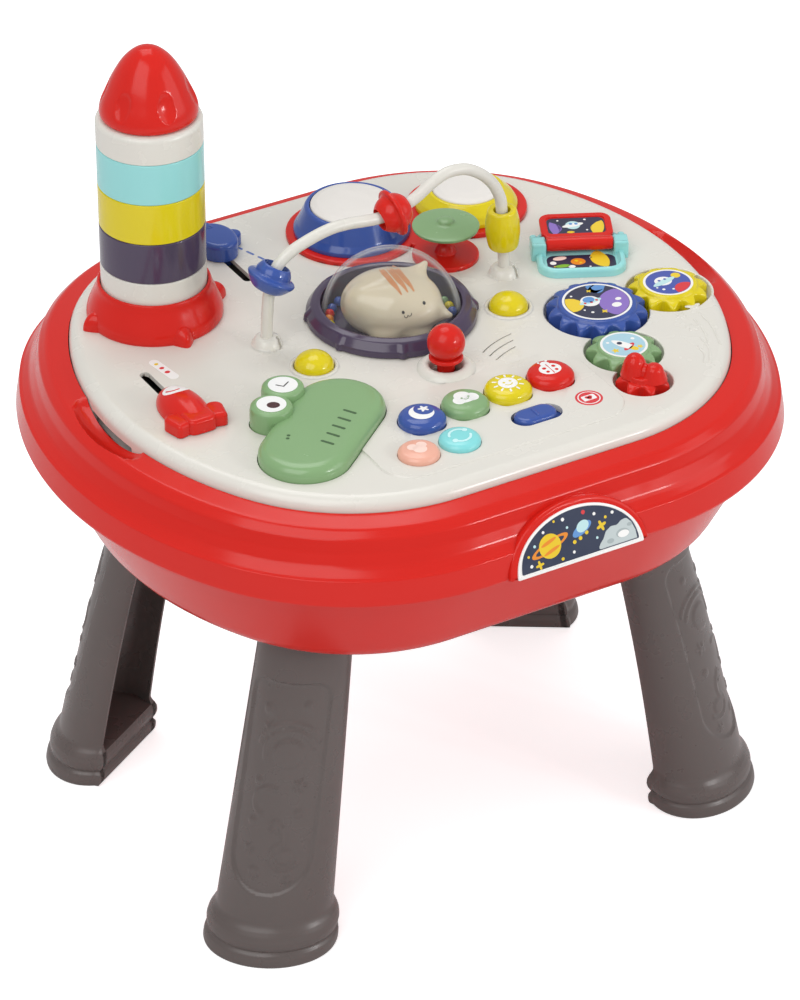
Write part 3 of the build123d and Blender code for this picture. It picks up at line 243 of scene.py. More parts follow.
def dress(name, mesh, materials, body, slot, nodes, crease):
    """Make an object of a mesh: smooth shaded up to the crease angle, with flat faces kept flat by weighted
    normals.  It rides on its body and stands for the CAD nodes named."""
    mesh.polygons.foreach_set("use_smooth", np.ones(len(mesh.polygons), bool))
    mesh.set_sharp_from_angle(angle=radians(crease))
    for material in materials:
        mesh.materials.append(material)
    made = bpy.data.objects.new(name, mesh)
    bpy.context.scene.collection.objects.link(made)
    weighted = made.modifiers.new("flat faces stay flat", "WEIGHTED_NORMAL")
    weighted.keep_sharp = True
    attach(made, body)
    if nodes:
        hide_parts(*nodes)
    return made


def piece(name, shapes, materials, body, slot, *nodes, crease=35.0):
    """One closed object from grids of millimetre places: joined, doubles merged, open ends filled, faces
    outward.  materials is one material, or one for each shape."""
    counts = np.cumsum([0] + [len(places) for places, _ in shapes])
    places = np.concatenate([p for p, _ in shapes]).astype(np.float32) * MM
    quads = np.concatenate([q + start for (_, q), start in zip(shapes, counts)]).astype(np.int32)
    each = materials if isinstance(materials, list) else [materials] * len(shapes)
    used = list(dict.fromkeys(each))
    mesh = bpy.data.meshes.new(name)
    mesh.vertices.add(len(places))
    mesh.vertices.foreach_set("co", places.ravel())
    mesh.loops.add(quads.size)
    mesh.loops.foreach_set("vertex_index", quads.ravel())
    mesh.polygons.add(len(quads))
    mesh.polygons.foreach_set("loop_start", np.arange(0, quads.size, 4, dtype=np.int32))
    mesh.polygons.foreach_set("material_index", np.repeat([used.index(m) for m in each],
                                                          [len(q) for _, q in shapes]).astype(np.int32))
    mesh.update(calc_edges=True)
    work = bmesh.new()
    work.from_mesh(mesh)
    bmesh.ops.remove_doubles(work, verts=work.verts, dist=2e-6)
    bmesh.ops.dissolve_degenerate(work, edges=work.edges, dist=1e-6)
    bmesh.ops.holes_fill(work, edges=[e for e in work.edges if e.is_boundary], sides=0)
    bmesh.ops.recalc_face_normals(work, faces=work.faces)
    work.to_mesh(mesh)
    work.free()
    return dress(name, mesh, used, body, slot, nodes, crease)


def merged(name, node, material, body, slot, crease=30.0):
    """Copy of a CAD node's mesh with its doubles merged, for the look alone."""
    mesh = frame["nodes"][node].data.copy()
    mesh.materials.clear()
    work = bmesh.new()
    work.from_mesh(mesh)
    bmesh.ops.remove_doubles(work, verts=work.verts, dist=2e-6)
    bmesh.ops.dissolve_degenerate(work, edges=work.edges, dist=1e-6)
    work.to_mesh(mesh)
    work.free()
    return dress(name, mesh, [material], body, slot, [node], crease)


def moulding(profile, step_mm=3.0):
    """Closed profile of (offset, h) carried all round the outline: place = outline + offset x normal."""
    base, outward = outline(step_mm)
    flat = base[:, None, :] + outward[:, None, :] * profile[None, :, 0, None]
    height = np.broadcast_to(BOARD_Z + profile[None, :, 1], flat.shape[:2])
    return np.concatenate([flat, height[..., None]], -1)


# the crest, the hollow flank and the ledge, then the band down to the lip, and back up inside the wall
CREST = [(0.6, -8.0), (14.0, -9.8), (19.0, -14.5), (21.2, -22.0), (25.0, -29.5), (29.6, -34.0),
         (31.4, -34.9),
         (33.9, -50.0), (33.1, -52.0), (30.4, -52.0), (28.4, -37.4), (22.6, -32.0), (18.2, -23.6),
         (15.9, -15.6), (12.8, -13.0), (3.6, -11.6), (3.6, -26.0), (-7.0, -26.0), (-7.0, -23.0),
         (0.6, -23.0)]
SCOOP_X, SCOOP_Y, SCOOP = HALF_X + 2.0, -3.0, (12.5, 37.0, 8.4)
RIM_STEP, ROUND_STEP = 1.8, 2.2
crest = rounded(CREST, {0: 1.0, 1: 6, 2: 5, 3: 14, 4: 12, 5: 6, 6: 1.2, 7: 1.4, 8: 1.0, 9: 1.0}, 8)
runs = [np.linspace(a, b, max(1, int(np.linalg.norm(b - a) / RIM_STEP)), endpoint=False)
        for a, b in zip(crest, np.roll(crest, -1, 0))]
rim_grid = moulding(np.concatenate(runs), ROUND_STEP)
# finger scoops: inside an end's oval the rim's upper skin sinks by depth x (1 - oval distance squared)^0.7
for end in (-1, 1):
    oval_x, oval_y = (rim_grid[..., 0] - end * SCOOP_X) / SCOOP[0], (rim_grid[..., 1] - SCOOP_Y) / SCOOP[1]
    out = 1 - (oval_x ** 2 + oval_y ** 2)
    upper = rim_grid[..., 2] > BOARD_Z - 20
    rim_grid[..., 2] -= upper * SCOOP[2] * np.clip(out, 0, 1) ** 0.7

BADGE_LOW, BADGE_HIGH = np.array([-211.0, -50.0]), np.array([-200.0, -20.0])      # (y, h)
badge_up = (BADGE_HIGH - BADGE_LOW) / np.linalg.norm(BADGE_HIGH - BADGE_LOW)


def on_badge(across, up, out=0.0):
    """Places on the badge's slanting plane: across along X, up the slant, out from its face."""
    y = BADGE_LOW[0] + badge_up[0] * up - badge_up[1] * out
    h = BADGE_LOW[1] + badge_up[1] * up + badge_up[0] * out
    return np.stack(np.broadcast_arrays(across, y, BOARD_Z + h), -1)


def half_dome(half_width, height, corner=3.0, base=0.0, count=60):
    """Outline of a half dome, (across, up), x = half_width cos a and y = base + height sin a, on a straight
    base whose ends are rounded; counter-clockwise."""
    a = np.linspace(0.0, pi, count)
    arch = list(zip(half_width * np.cos(a), base + height * np.sin(a)))
    foot = half_width - 0.01
    points = [(0, base), (foot, base)] + arch[1:-1] + [(-foot, base), (0, base)]
    return rounded(points, {1: corner, len(arch): corner}, 5)[:-1]


def inward_of(line):
    """Unit normals of a counter-clockwise outline, pointing in, from the points before and after each."""
    along = np.roll(line, -1, 0) - np.roll(line, 1, 0)
    along = along / np.maximum(np.linalg.norm(along, axis=1, keepdims=True), 1e-9)
    return np.stack([-along[:, 1], along[:, 0]], -1)


def slab(line, place, levels, crown=0.0):
    """Rounded slab over a closed outline: levels are (inset, out) from its foot to its face.  An outline seen
    whole from its middle is closed by rings that shrink to it and rise by crown x (1 - k squared), and any
    other by rungs from its first points to its last."""
    inward = inward_of(line)
    rows = [place(*(line + inward * inset).T, out) for inset, out in levels]
    last = line + inward * levels[-1][0]
    middle = last.mean(0)
    spoke = last - middle
    on_spoke = np.roll(spoke, -1, 0)
    if (spoke[:, 0] * on_spoke[:, 1] >= spoke[:, 1] * on_spoke[:, 0] - 1e-6).all():
        rows += [place(*(middle + spoke * k).T, levels[-1][1] + crown * (1 - k * k))
                 for k in (0.85, 0.66, 0.45, 0.22, 0.0)]
        return skin(np.stack(rows), False, True)
    places, quads = skin(np.stack(rows), False, True)
    first = len(places) - len(line)
    i = np.arange(len(line) // 2 - 1)
    rungs = first + np.stack([i, i + 1, len(line) - 2 - i, len(line) - 1 - i], -1)
    return places, np.concatenate([quads, rungs])


pad = slab(half_dome(47, 37.5, 4), on_badge, [(0, -9.3), (0, -3.0), (0.3, -2.2), (1.0, -1.6), (2.2, -1.3)])
piece("rim", [skin(rim_grid, True, True), pad], red_abs, "table", "red_plastic", "rim_shell")


def laid(u, v, turn, x, y):
    """Plan places (u, v) turned by turn degrees and moved to (x, y)."""
    c, s = cos(radians(turn)), sin(radians(turn))
    return np.stack([x + u * c - v * s, y + u * s + v * c], -1)


def disc(x, y, radius, squash=1.0, turn=0.0, waves=0, depth=0.0, count=40):
    """Closed outline (x, y) + turned (r cos a, squash r sin a), r = radius (1 + depth cos(waves a))."""
    a = np.linspace(0, 2 * pi, count, endpoint=False)
    r = radius * (1 + depth * np.cos(waves * a))
    return laid(r * np.cos(a), squash * r * np.sin(a), turn, x, y)


def prints(place, marks, thick=0.1):
    """Thin printed shapes: marks are (closed outline, ink, layer), each layer a thickness above the last."""
    shapes = [slab(line, place, [(0, (layer - 1) * thick), (0, layer * thick)]) for line, _, layer in marks]
    return shapes, [ink for _, ink, _ in marks]


paper = moulded("white printed film", "F2F1EE", 0.35)
night = moulded("midnight print", "26304A", 0.35)
moon = moulded("moon grey print", "BFC9C9", 0.38)
shade_grey = moulded("crater grey print", "A5B0B1", 0.38)
sun = moulded("sunflower print", "E8C51C", 0.35)
amber = moulded("amber print", "E88A1E", 0.35)
sky = moulded("sky blue print", "5F93CF", 0.35)
mist = moulded("pale cyan print", "BFE2E4", 0.35)
crimson = moulded("crimson print", "D8343A", 0.35)

# the badge: a pale cratered world at the right, a banded planet with its ring at the left, a shuttle
# between them and stars all over a midnight sky, inside a white border
badge_marks = [(half_dome(39.9, 30.4, 2.0, 2.4), night, 1),
               (disc(-19, 14.5, 13.5, 0.26, 18), amber, 2), (disc(-19, 14.5, 10.6, 0.2, 18), night, 3),
               (disc(-19, 14.5, 7.4), sun, 4), (disc(-19.6, 17.0, 5.6, 0.2, 18), amber, 5),
               (disc(-18.2, 11.6, 5.8, 0.18, 18), amber, 5), (disc(3.5, 18.5, 7.2, 0.42, 24), sky, 2),
               (disc(4.2, 20.0, 4.4, 0.75, 24), mist, 3), (disc(-2.6, 12.2, 1.2), sun, 2),
               (disc(1.6, 13.4, 1.2), sun, 2),
               (disc(6.2, 15.6, 1.2), sun, 2)]
hill = np.array([(38.6, 3.0), (38.3, 8.0), (36.4, 13.4), (33.4, 16.8), (29.8, 16.2), (26.6, 14.2),
                 (22.6, 14.6),
                 (18.8, 12.6), (16.4, 8.6), (14.0, 6.4), (11.8, 3.0)])
hill_line = rounded(list(hill) + [hill[0]], {n: 2.4 for n in range(1, len(hill))}, 4)[:-1]
badge_marks += [(hill_line, moon, 2),
                (disc(29.5, 8.6, 4.4, 0.6), shade_grey, 3), (disc(30.0, 8.0, 3.8, 0.55), paper, 4),
                (disc(20.8, 6.0, 2.4, 0.6), shade_grey, 3), (disc(35.0, 12.4, 1.8, 0.6), shade_grey, 3)]
for x, y, size, ink in ((-33, 6, 1.0, paper), (-29, 17, 0.9, mist), (-34, 12, 0.8, sun),
                        (-8, 27.5, 1.1, paper),
                        (-4, 6.5, 0.9, paper), (6, 28, 1.3, crimson), (13, 25, 1.0, paper),
                        (20, 21, 0.9, sun),
                        (-14, 28, 0.8, sun), (25, 22.5, 1.0, paper), (12.5, 10.5, 0.8, mist),
                        (-6, 22, 0.8, mist),
                        (-22, 23.6, 0.9, paper), (-12, 4.6, 1.0, sun)):
    badge_marks.append((disc(x, y, size), ink, 2))
badge_marks += [(disc(16.5, 16.8, 2.4, 1, 20, 4, 0.45), sun, 2),
                (disc(-27.5, 5.2, 2.0, 1, 10, 4, 0.45), sun, 2)]
shapes, inks = prints(lambda x, y, out: on_badge(x, y, out - 0.75), badge_marks, 0.05)
plate = slab(half_dome(42.9, 33.4, 3.0), lambda x, y, out: on_badge(x, y, out - 1.35),
             [(0, -0.3), (0, 0.5), (0.2, 0.85), (0.6, 1.0), (1.4, 1.05), (1.8, 0.55)])
piece("badge", [plate] + shapes, [paper] + inks, "table", "badge_print", "front_badge")


# ------------------------------------------------------------------ tub and board
# The lower red moulding and the white top moulding, which comes through the rim's crest.  Both are shot in
# ABS, with the openings, sockets and posts moulded in; the top carries every toy.
white_abs = moulded("off-white ABS", "DEDBD2", 0.24)
merged("tub", "lower_tub", red_abs, "table", "red_plastic")
merged("top_moulding", "top_panel", white_abs, "board", "white_plastic", 28)
pan_pp = moulded("plain white polypropylene", "D8D5CF", 0.42)
merged("underside", "back_pan", pan_pp, "board", "pan_plastic")
merged("battery_cover", "battery_door", pan_pp, "battery_door", "pan_plastic")


def on_board(x, y, out=0.0):
    """Places on the flat top of the board, out above it."""
    return np.stack(np.broadcast_arrays(x, y, BOARD_Z + out), -1)


def ribbon(points, widths, ends=8):
    """Closed outline round a line: each point is set out by half its width to both sides, along the line's
    normal, and the two ends are half circles.  It starts in the middle of the first end."""
    p = np.asarray(points, float)
    w = np.broadcast_to(np.asarray(widths, float), (len(p),)) / 2
    along = np.gradient(p, axis=0)
    along /= np.linalg.norm(along, axis=1, keepdims=True)
    side = np.stack([along[:, 1], -along[:, 0]], -1)
    a = np.linspace(-pi / 2, pi / 2, ends + 2)[1:-1, None]
    far = p[-1] + w[-1] * (np.cos(a) * along[-1] - np.sin(a) * side[-1])
    near = p[0] - w[0] * (np.cos(a) * along[0] - np.sin(a) * side[0])
    line = np.concatenate([p + side * w[:, None], far, (p - side * w[:, None])[::-1], near])
    return np.roll(line, ends // 2, 0)


def smooth(points, steps=8):
    """Curve through points by the Catmull-Rom formula, with its ends doubled."""
    p = np.asarray(points, float)
    p = np.concatenate([2 * p[:1] - p[1:2], p, 2 * p[-1:] - p[-2:-1]])
    t = np.linspace(0, 1, steps, endpoint=False)[:, None, None]
    a, b, c, d = p[:-3], p[1:-2], p[2:-1], p[3:]
    run = 0.5 * (2 * b + (c - a) * t + (2 * a - 5 * b + 4 * c - d) * t ** 2 + (3 * b - a - 3 * c + d)
                 * t ** 3)
    return np.concatenate([run.transpose(1, 0, 2).reshape(-1, p.shape[1]), p[-2:-1]])


# three falling-star trails and their stars, raised a little out of the board at its right-hand corner
low_ridge = [(0, -0.3), (0, 0.1), (0.25, 0.26), (0.6, 0.34)]
trails = [[(165, -80), (163, -96), (156, -116)], [(158, -84), (156, -98), (150.5, -112)],
          [(150, -104), (147, -118), (139, -131)], [(143, -112), (141, -122), (136, -129)]]
shapes = [slab(ribbon(smooth(t, 6), [1.6] * (len(t) * 6 - 5)), on_board, low_ridge) for t in trails]
shapes += [slab(disc(x, y, r, 1, turn, 5, 0.3), on_board, low_ridge)
           for x, y, r, turn in ((166, -71, 4.0, 10), (153.5, -77, 3.0, 40), (152, -92, 3.4, 0))]
piece("raised_stars", shapes, white_abs, "board", "white_plastic")

# ------------------------------------------------------------------ legs
# Channel-section legs of warm grey polypropylene, open towards the middle.  Each has a round-ended panel
# sunk into its outer face with soft raised pictures in it, and a foot of two fat beads.
LEG_TOP, LEG_FOOT, LEG_H, LEG_PLUG = (112.5, 90.0), (157.0, 112.0), 233.0, 24.0
LEG_R_TOP, LEG_R_FOOT, LEG_DEEP, LEG_CUT, LEG_BOW = 27.0, 37.0, 0.79, 0.5, 3.7
LEG_FACE, LEG_WALL, FOOT_SOLID = radians(58.0), 3.0, 23.0
PANEL_LOW, PANEL_HIGH, PANEL_HALF, PANEL_TURN, PANEL_DEEP = 45.5, 183.0, 26.5, radians(-13.0), 1.7
grey_pp = moulded("warm grey polypropylene", "5E5552", 0.3, 0.02, 1.1)

# how far the foot's two beads swell out of the leg, (level, grow)
BEADS = [(0, 3.0), (0.8, 4.0), (2.4, 4.5), (6.0, 4.5), (8.2, 4.0), (9.3, 3.0), (10.2, 2.6), (11.2, 3.1),
         (13.2, 3.9),
         (16.5, 4.3), (20.0, 3.7), (23.0, 2.3), (25.2, 0.9), (27.0, 0.15), (28.5, 0.0)]


def soft_step(d, width):
    """0 below -width/2, 1 above width/2, and a smooth S between."""
    t = np.clip(d / width + 0.5, 0, 1)
    return t * t * (3 - 2 * t)


def panel_relief(across, level):
    """Depth of the sunk panel less its raised pictures.  The panel is the room inside a round-bottomed frame;
    each picture is a soft step over its own distance: discs, rings, arcs and small stars."""
    up_in = PANEL_HIGH - level
    corner = 13.0
    top = np.minimum(PANEL_HALF - np.abs(across), up_in)
    in_x, in_y = np.abs(across) - (PANEL_HALF - corner), corner - up_in
    top = np.where((in_x > 0) & (in_y > 0), corner - np.hypot(in_x, in_y), top)
    bottom = PANEL_HALF - np.hypot(across, level - (PANEL_LOW + PANEL_HALF))
    inside = np.where(level < PANEL_LOW + PANEL_HALF, bottom, top)
    x, y = across, level
    raised = np.zeros_like(across)
    for cx, cy, radius in ((4, 138, 9.0), (-11, 164, 3.0), (12, 168, 2.2), (-8, 60, 3.4), (9, 72, 5.0),
                           (-13, 92, 2.6), (14, 100, 2.4), (-12, 118, 2.2)):
        raised = np.maximum(raised, soft_step(radius - np.hypot(x - cx, y - cy), 1.8))
    for cx, cy, radius, half, low, high in ((4, 138, 14.5, 1.3, 10, 200), (4, 138, 19.0, 1.2, 20, 170),
                                            (-6, 84, 13, 1.2, -60, 60), (-4, 106, 9.5, 1.2, 60, 250),
                                            (9, 72, 8.6, 1.0, 100, 330)):
        angle = np.degrees(np.arctan2(y - cy, x - cx)) % 360
        span = (angle - low) % 360 < (high - low)
        arc = soft_step(half - np.abs(np.hypot(x - cx, y - cy) - radius), 1.6) * span
        raised = np.maximum(raised, arc)
    for cx, cy, radius in ((-9, 152, 4.6), (13, 118, 4.4), (2, 91, 4.8), (-13, 74, 3.8), (12, 56.5, 3.4)):
        angle = np.arctan2(y - cy, x - cx)
        star = radius * (0.66 + 0.34 * np.cos(5 * angle)) - np.hypot(x - cx, y - cy)
        raised = np.maximum(raised, soft_step(star, 1.6))
    return PANEL_DEEP * soft_step(inside - 0.9, 1.9) - 0.75 * raised * soft_step(inside - 3.5, 2.0)


def leg_skin():
    """One leg in the quadrant of positive x and y.  Each level is a C: the outer oval from lip to lip, where
    place = axis + turned (deep cos a, radius sin a), then back along the inner oval, a wall's thickness in.
    Below the solid foot's top the inner part lies in the plane of the lips."""
    levels = np.unique(np.concatenate([np.linspace(0, 28.5, 40), np.linspace(28.5, 40, 6),
                                       np.linspace(40, 190, 130), np.linspace(190, LEG_H + LEG_PLUG, 12)]))
    at_foot = np.searchsorted(levels, FOOT_SOLID)
    levels = np.insert(levels, at_foot, [FOOT_SOLID, FOOT_SOLID])
    solid = np.arange(len(levels)) <= at_foot
    level = levels[:, None]
    grow = np.interp(levels, *zip(*BEADS))[:, None]
    radius = LEG_R_FOOT + (LEG_R_TOP - LEG_R_FOOT) * level / LEG_H
    end = np.arccos(-LEG_CUT)
    a = np.linspace(-end, end, 164)[None, :]
    across = (a - PANEL_TURN) * radius * 0.9
    sunk = panel_relief(across, np.broadcast_to(level, across.shape))
    out_x = (LEG_DEEP * radius + grow - sunk) * np.cos(a)
    out_y = (radius + grow - sunk) * np.sin(a)
    lip = -LEG_CUT * LEG_DEEP * radius - grow
    out_x = np.maximum(out_x, lip)
    out_x[:, 0:1], out_x[:, -1:] = lip, lip
    b = np.linspace(end * 0.985, -end * 0.985, 30)[None, :]
    in_x = np.maximum((LEG_DEEP * radius - LEG_WALL) * np.cos(b), lip)
    in_y = (radius - LEG_WALL) * np.sin(b)
    in_x[:, 0:1], in_x[:, -1:] = lip, lip
    in_x = np.where(solid[:, None], lip, in_x)
    local_x, local_y = np.concatenate([out_x, in_x], 1), np.concatenate([out_y, in_y], 1)
    t = level / LEG_H
    bow = LEG_BOW * np.sin(pi * np.minimum(t, 1.0))
    c, s = cos(LEG_FACE), sin(LEG_FACE)
    x = LEG_FOOT[0] + (LEG_TOP[0] - LEG_FOOT[0]) * t + bow * c + local_x * c - local_y * s
    y = LEG_FOOT[1] + (LEG_TOP[1] - LEG_FOOT[1]) * t + bow * s + local_x * s + local_y * c
    return np.stack(np.broadcast_arrays(x, y, level), -1)


leg_grid = leg_skin()
for name, sx, sy in (("leg_front_left", -1, -1), ("leg_front_right", 1, -1),
                     ("leg_back_left", -1, 1), ("leg_back_right", 1, 1)):
    piece(name + "_moulded", [skin(leg_grid * (sx, sy, 1), False, True)], grey_pp, "table", "leg_plastic",
          name)


# ------------------------------------------------------------------ stacking rocket
# A flared red cup with four rounded fins, five rings and a nose that drop over each other's spigots.
# Glossy ABS; the rings' edges are barely broken, the top ring's shoulder is full and round.
ROCKET = (-120.4, 88.5)
RING_R, RING_H, TOP_RING_H = 32.3, 27.0, 18.0
SPIGOT_R, SPIGOT_H, STACK_H = 25.0, 6.0, 11.0
plum_abs = moulded("plum ABS", "4A3E55", 0.14)
yellow_abs = moulded("yellow ABS", "DECB12", 0.14)
turquoise_abs = moulded("turquoise ABS", "97D9D8", 0.16)


def turned(profile, at, steps=112):
    """Surface of revolution about an upright axis: place = at + radius (cos a, sin a), at the profile's h."""
    radius, h = np.asarray(profile, float).T
    a = np.linspace(0, 2 * pi, steps, endpoint=False)[:, None]
    return np.stack(np.broadcast_arrays(at[0] + radius * np.cos(a), at[1] + radius * np.sin(a), BOARD_Z + h),
                    -1)


def egg(radii, centre, turn=0.0, pitch=0.0, steps=48):
    """Ellipsoid on a grid of longitude a and latitude b: place = centre + turned (rx cos b cos a,
    ry cos b sin a, rz sin b)."""
    a = np.linspace(0, 2 * pi, steps, endpoint=False)[:, None]
    b = np.linspace(-pi / 2, pi / 2, steps // 2 + 1)[None, :]
    ball = np.stack(np.broadcast_arrays(radii[0] * np.cos(b) * np.cos(a), radii[1] * np.cos(b) * np.sin(a),
                                        radii[2] * np.sin(b)), -1)
    frame_of = np.array(Matrix.Rotation(radians(turn), 3, "Z") @ Matrix.Rotation(radians(pitch), 3, "Y"))
    return ball @ frame_of.T + np.array([centre[0], centre[1], BOARD_Z + centre[2]])


cup = np.concatenate([smooth([(41.2, 0.0), (41.8, 2.2), (41.0, 7.0), (38.6, 13.0), (36.0, 19.0),
                              (34.9, 22.8)], 5),
                      rounded([(34.9, 22.8), (34.3, 24.2), (32.8, 24.2), (32.7, 21.0)], {1: 0.8, 2: 0.7}, 4),
                      rounded([(32.7, 14.0), (32.7, STACK_H), (SPIGOT_R, STACK_H),
                               (SPIGOT_R, STACK_H + SPIGOT_H),
                               (0.0, STACK_H + SPIGOT_H)], {1: 1.0, 2: 0.6, 3: 1.2}, 4)])
shapes = [skin(turned(np.concatenate([[(0, 0)], cup]), ROCKET, 160), True)]
for quarter in range(4):
    # each fin is a fat round-cornered wing: an egg drawn to a blunt point outwards and flattened below
    way = radians(90 * quarter - 3)
    fin = egg((9.4, 8.2, 10.2), (0, 0, 0.6), 0, 0, 44)
    fin[..., 1] *= 1 - 0.055 * np.clip(fin[..., 0], 0, None)
    fin[..., 2] = np.maximum(fin[..., 2], BOARD_Z + 0.02)
    x, y = fin[..., 0] + 38.4, fin[..., 1].copy()
    fin[..., 0], fin[...,
                     1] = ROCKET[0] + x * cos(way) - y * sin(way), ROCKET[1] + x * sin(way) + y * cos(way)
    shapes.append(skin(fin, True))
piece("rocket_foot", shapes, red_abs, "board", "red_plastic", "rocket_base")

ring_finish = {"ring_white_bottom": (white_abs, "white_plastic"),
               "ring_purple": (plum_abs, "purple_plastic"),
               "ring_yellow": (yellow_abs, "yellow_plastic"),
               "ring_turquoise": (turquoise_abs, "turquoise_plastic"),
               "ring_white_top": (white_abs, "white_plastic")}
for number, (name, (finish, slot)) in enumerate(ring_finish.items()):
    low = STACK_H + number * RING_H
    high, shoulder = (low + TOP_RING_H, 5.6) if number == 4 else (low + RING_H, 0.8)
    loop = rounded([(SPIGOT_R + 0.4, low), (RING_R, low), (RING_R, high), (SPIGOT_R, high),
                    (SPIGOT_R, high + SPIGOT_H), (0, high + SPIGOT_H)],
                    {1: 1.1, 2: shoulder, 3: 0.5, 4: 1.2}, 8)
    inside = rounded([(0, high + SPIGOT_H - 2), (SPIGOT_R - 3, high + SPIGOT_H - 2),
                      (SPIGOT_R - 3, high - 2),
                      (RING_R - 2.6, high - 8), (RING_R - 2.6, low + 9), (SPIGOT_R + 0.4, low + 7),
                      (SPIGOT_R + 0.4, low)], {3: 2.0, 4: 1.0}, 3)
    piece(name + "_turned", [skin(turned(np.concatenate([loop, inside]), ROCKET), True)], finish, name, slot,
          name)

NOSE_LOW = STACK_H + 4 * RING_H + TOP_RING_H
bullet = smooth([(27.6, 0), (29.3, 1.6), (29.75, 4.6), (28.6, 9.6), (25.7, 16.5), (21.6, 25.5), (15.9, 35),
                 (10, 41.2), (4.6, 44.3), (0, 45)], 8)
hollow = rounded([(0, 41), (8, 37), (SPIGOT_R - 6, 24), (SPIGOT_R + 0.4, 9), (SPIGOT_R + 0.4, 0), (27.6, 0)],
                 {1: 4, 2: 9}, 4)
nose = turned(np.concatenate([bullet, hollow]) + [0, NOSE_LOW], ROCKET, 160)
# six oval dimples: inside each, the skin sinks along its radius by a bowl of that depth
for bearing in range(27, 360, 60):
    way = np.array([cos(radians(bearing)), sin(radians(bearing))])
    flat = nose[..., :2] - np.array(ROCKET)
    across, out = flat @ np.array([-way[1], way[0]]), flat @ way
    bowl = np.clip(1 - (across / 5.2) ** 2 - ((nose[..., 2] - BOARD_Z - NOSE_LOW - 15.5) / 8.4) ** 2, 0, 1)
    bowl = np.where((out > 0) & (np.arange(nose.shape[1]) < len(bullet)), bowl, 0)
    nose[..., :2] -= way * (1.9 * bowl ** 0.6)[..., None]
piece("nose_bullet", [skin(nose, True)], red_abs, "nose_cone", "red_plastic", "nose_cone")


# ------------------------------------------------------------------ bead arch
# A white tube bent in a wavy arch between two moulded mounds, with a slit beside each foot, and three
# glossy beads that run on it: a flying saucer, a ringed ball and a barrel.
WIRE_R, ARCH_Y = 3.65, 21.0
ARCH = [(-80.0, 10), (-78.2, 34), (-74.0, 49), (-65.0, 58), (-51.2, 63.6), (-36.5, 67), (-24, 67.2),
        (-12, 65.7),
        (-2, 64.8), (9, 66), (22.7, 71.2), (33, 77.5), (42, 81.8), (50, 83), (60, 81), (70, 74.7),
        (77.8, 66.3),
        (82.6, 56.8), (84.6, 47), (86.6, 10)]
blue_abs = moulded("blue ABS", "38549F", 0.13)

line = smooth([(ARCH[0][0], -11.5), (ARCH[0][0], -4)] + ARCH + [(ARCH[-1][0], -4), (ARCH[-1][0], -11.5)], 7)
along = np.gradient(line, axis=0)
along /= np.linalg.norm(along, axis=1, keepdims=True)
a = np.linspace(0, 2 * pi, 32, endpoint=False)[None, :]
# tube round the line: place = line + r (cos a across the line in the arch's plane, sin a along Y)
tube = np.stack(np.broadcast_arrays(line[:, 0:1] - WIRE_R * np.cos(a) * along[:, 1:2],
                                    ARCH_Y + WIRE_R * np.sin(a),
                                    BOARD_Z + line[:, 1:2] + WIRE_R * np.cos(a) * along[:, 0:1]), -1)
piece("arch_tube", [skin(tube, False, True)], white_abs, "board", "white_plastic", "bead_arch")


def beaded(profile, place, lean, steps=64, oval=1.0):
    """Bead turned about its own axis, which leans from upright towards +X by lean degrees, set on the arch.
    place = spot + turned (r cos a, oval r sin a, height)."""
    profile = np.asarray(profile, float)
    a = np.linspace(0, 2 * pi, steps, endpoint=False)[:, None]
    x, y = profile[None, :, 0] * np.cos(a), profile[None, :, 0] * np.sin(a) * oval
    h = np.broadcast_to(profile[None, :, 1], x.shape)
    c, s = cos(radians(lean)), sin(radians(lean))
    return np.stack([place[0] + x * c + h * s, ARCH_Y + y, BOARD_Z + place[1] - x * s + h * c], -1)


saucer = smooth([(7.4, -7.6), (8.8, -7.5), (11.0, -5.8), (13.4, -2.9), (15.0, -0.4), (14.7, 1.1),
                 (12.7, 1.8),
                 (11.3, 2.6), (10.9, 4.8), (9.6, 7.4), (8.7, 8.5), (7.8, 8.7)], 5)
grid = beaded(np.concatenate([saucer, [(5.2, 1.0), (5.2, -1.0)]]), (-76.4, 45.0), 28.0)
piece("bead_saucer", [skin(grid, True, True)], blue_abs, "bead_blue", "blue_plastic", "bead_blue")
b = np.radians(np.linspace(-54, 54, 25))
globe = [(12.0 * cos(v), 12.0 * sin(v)) for v in b if abs(12 * sin(v)) > 2.6]
half = len(globe) // 2
belt = rounded([globe[half - 1], (12.6, -1.6), (14.9, -1.3), (15.1, 1.3), (12.6, 1.6), globe[half]],
               {1: 0.9, 2: 1.1, 3: 1.1, 4: 0.9}, 5)[1:-1].tolist()
grid = beaded(globe[:half] + belt + globe[half:] + [(5.2, 1.0), (5.2, -1.0)], (8.0, 65.8), 76.0)
piece("bead_ball", [skin(grid, True, True)], red_abs, "bead_red", "red_plastic", "bead_red")
barrel = smooth([(7.6, -13.4), (9.0, -12.8), (9.9, -9.5), (10.5, -5), (10.8, 0), (10.5, 5), (9.6, 10),
                 (8.9, 12.6), (7.6, 13.4)], 5)
bore = rounded([(7.6, 13.4), (5.2, 13.0), (5.2, -13.0), (7.6, -13.4)], {1: 0.8, 2: 0.8}, 4)[1:-1]
grid = beaded(np.concatenate([barrel, bore]), (85.6, 33.0), -3.0)
piece("bead_barrel", [skin(grid, True, True)], yellow_abs, "bead_yellow", "yellow_plastic", "bead_yellow")

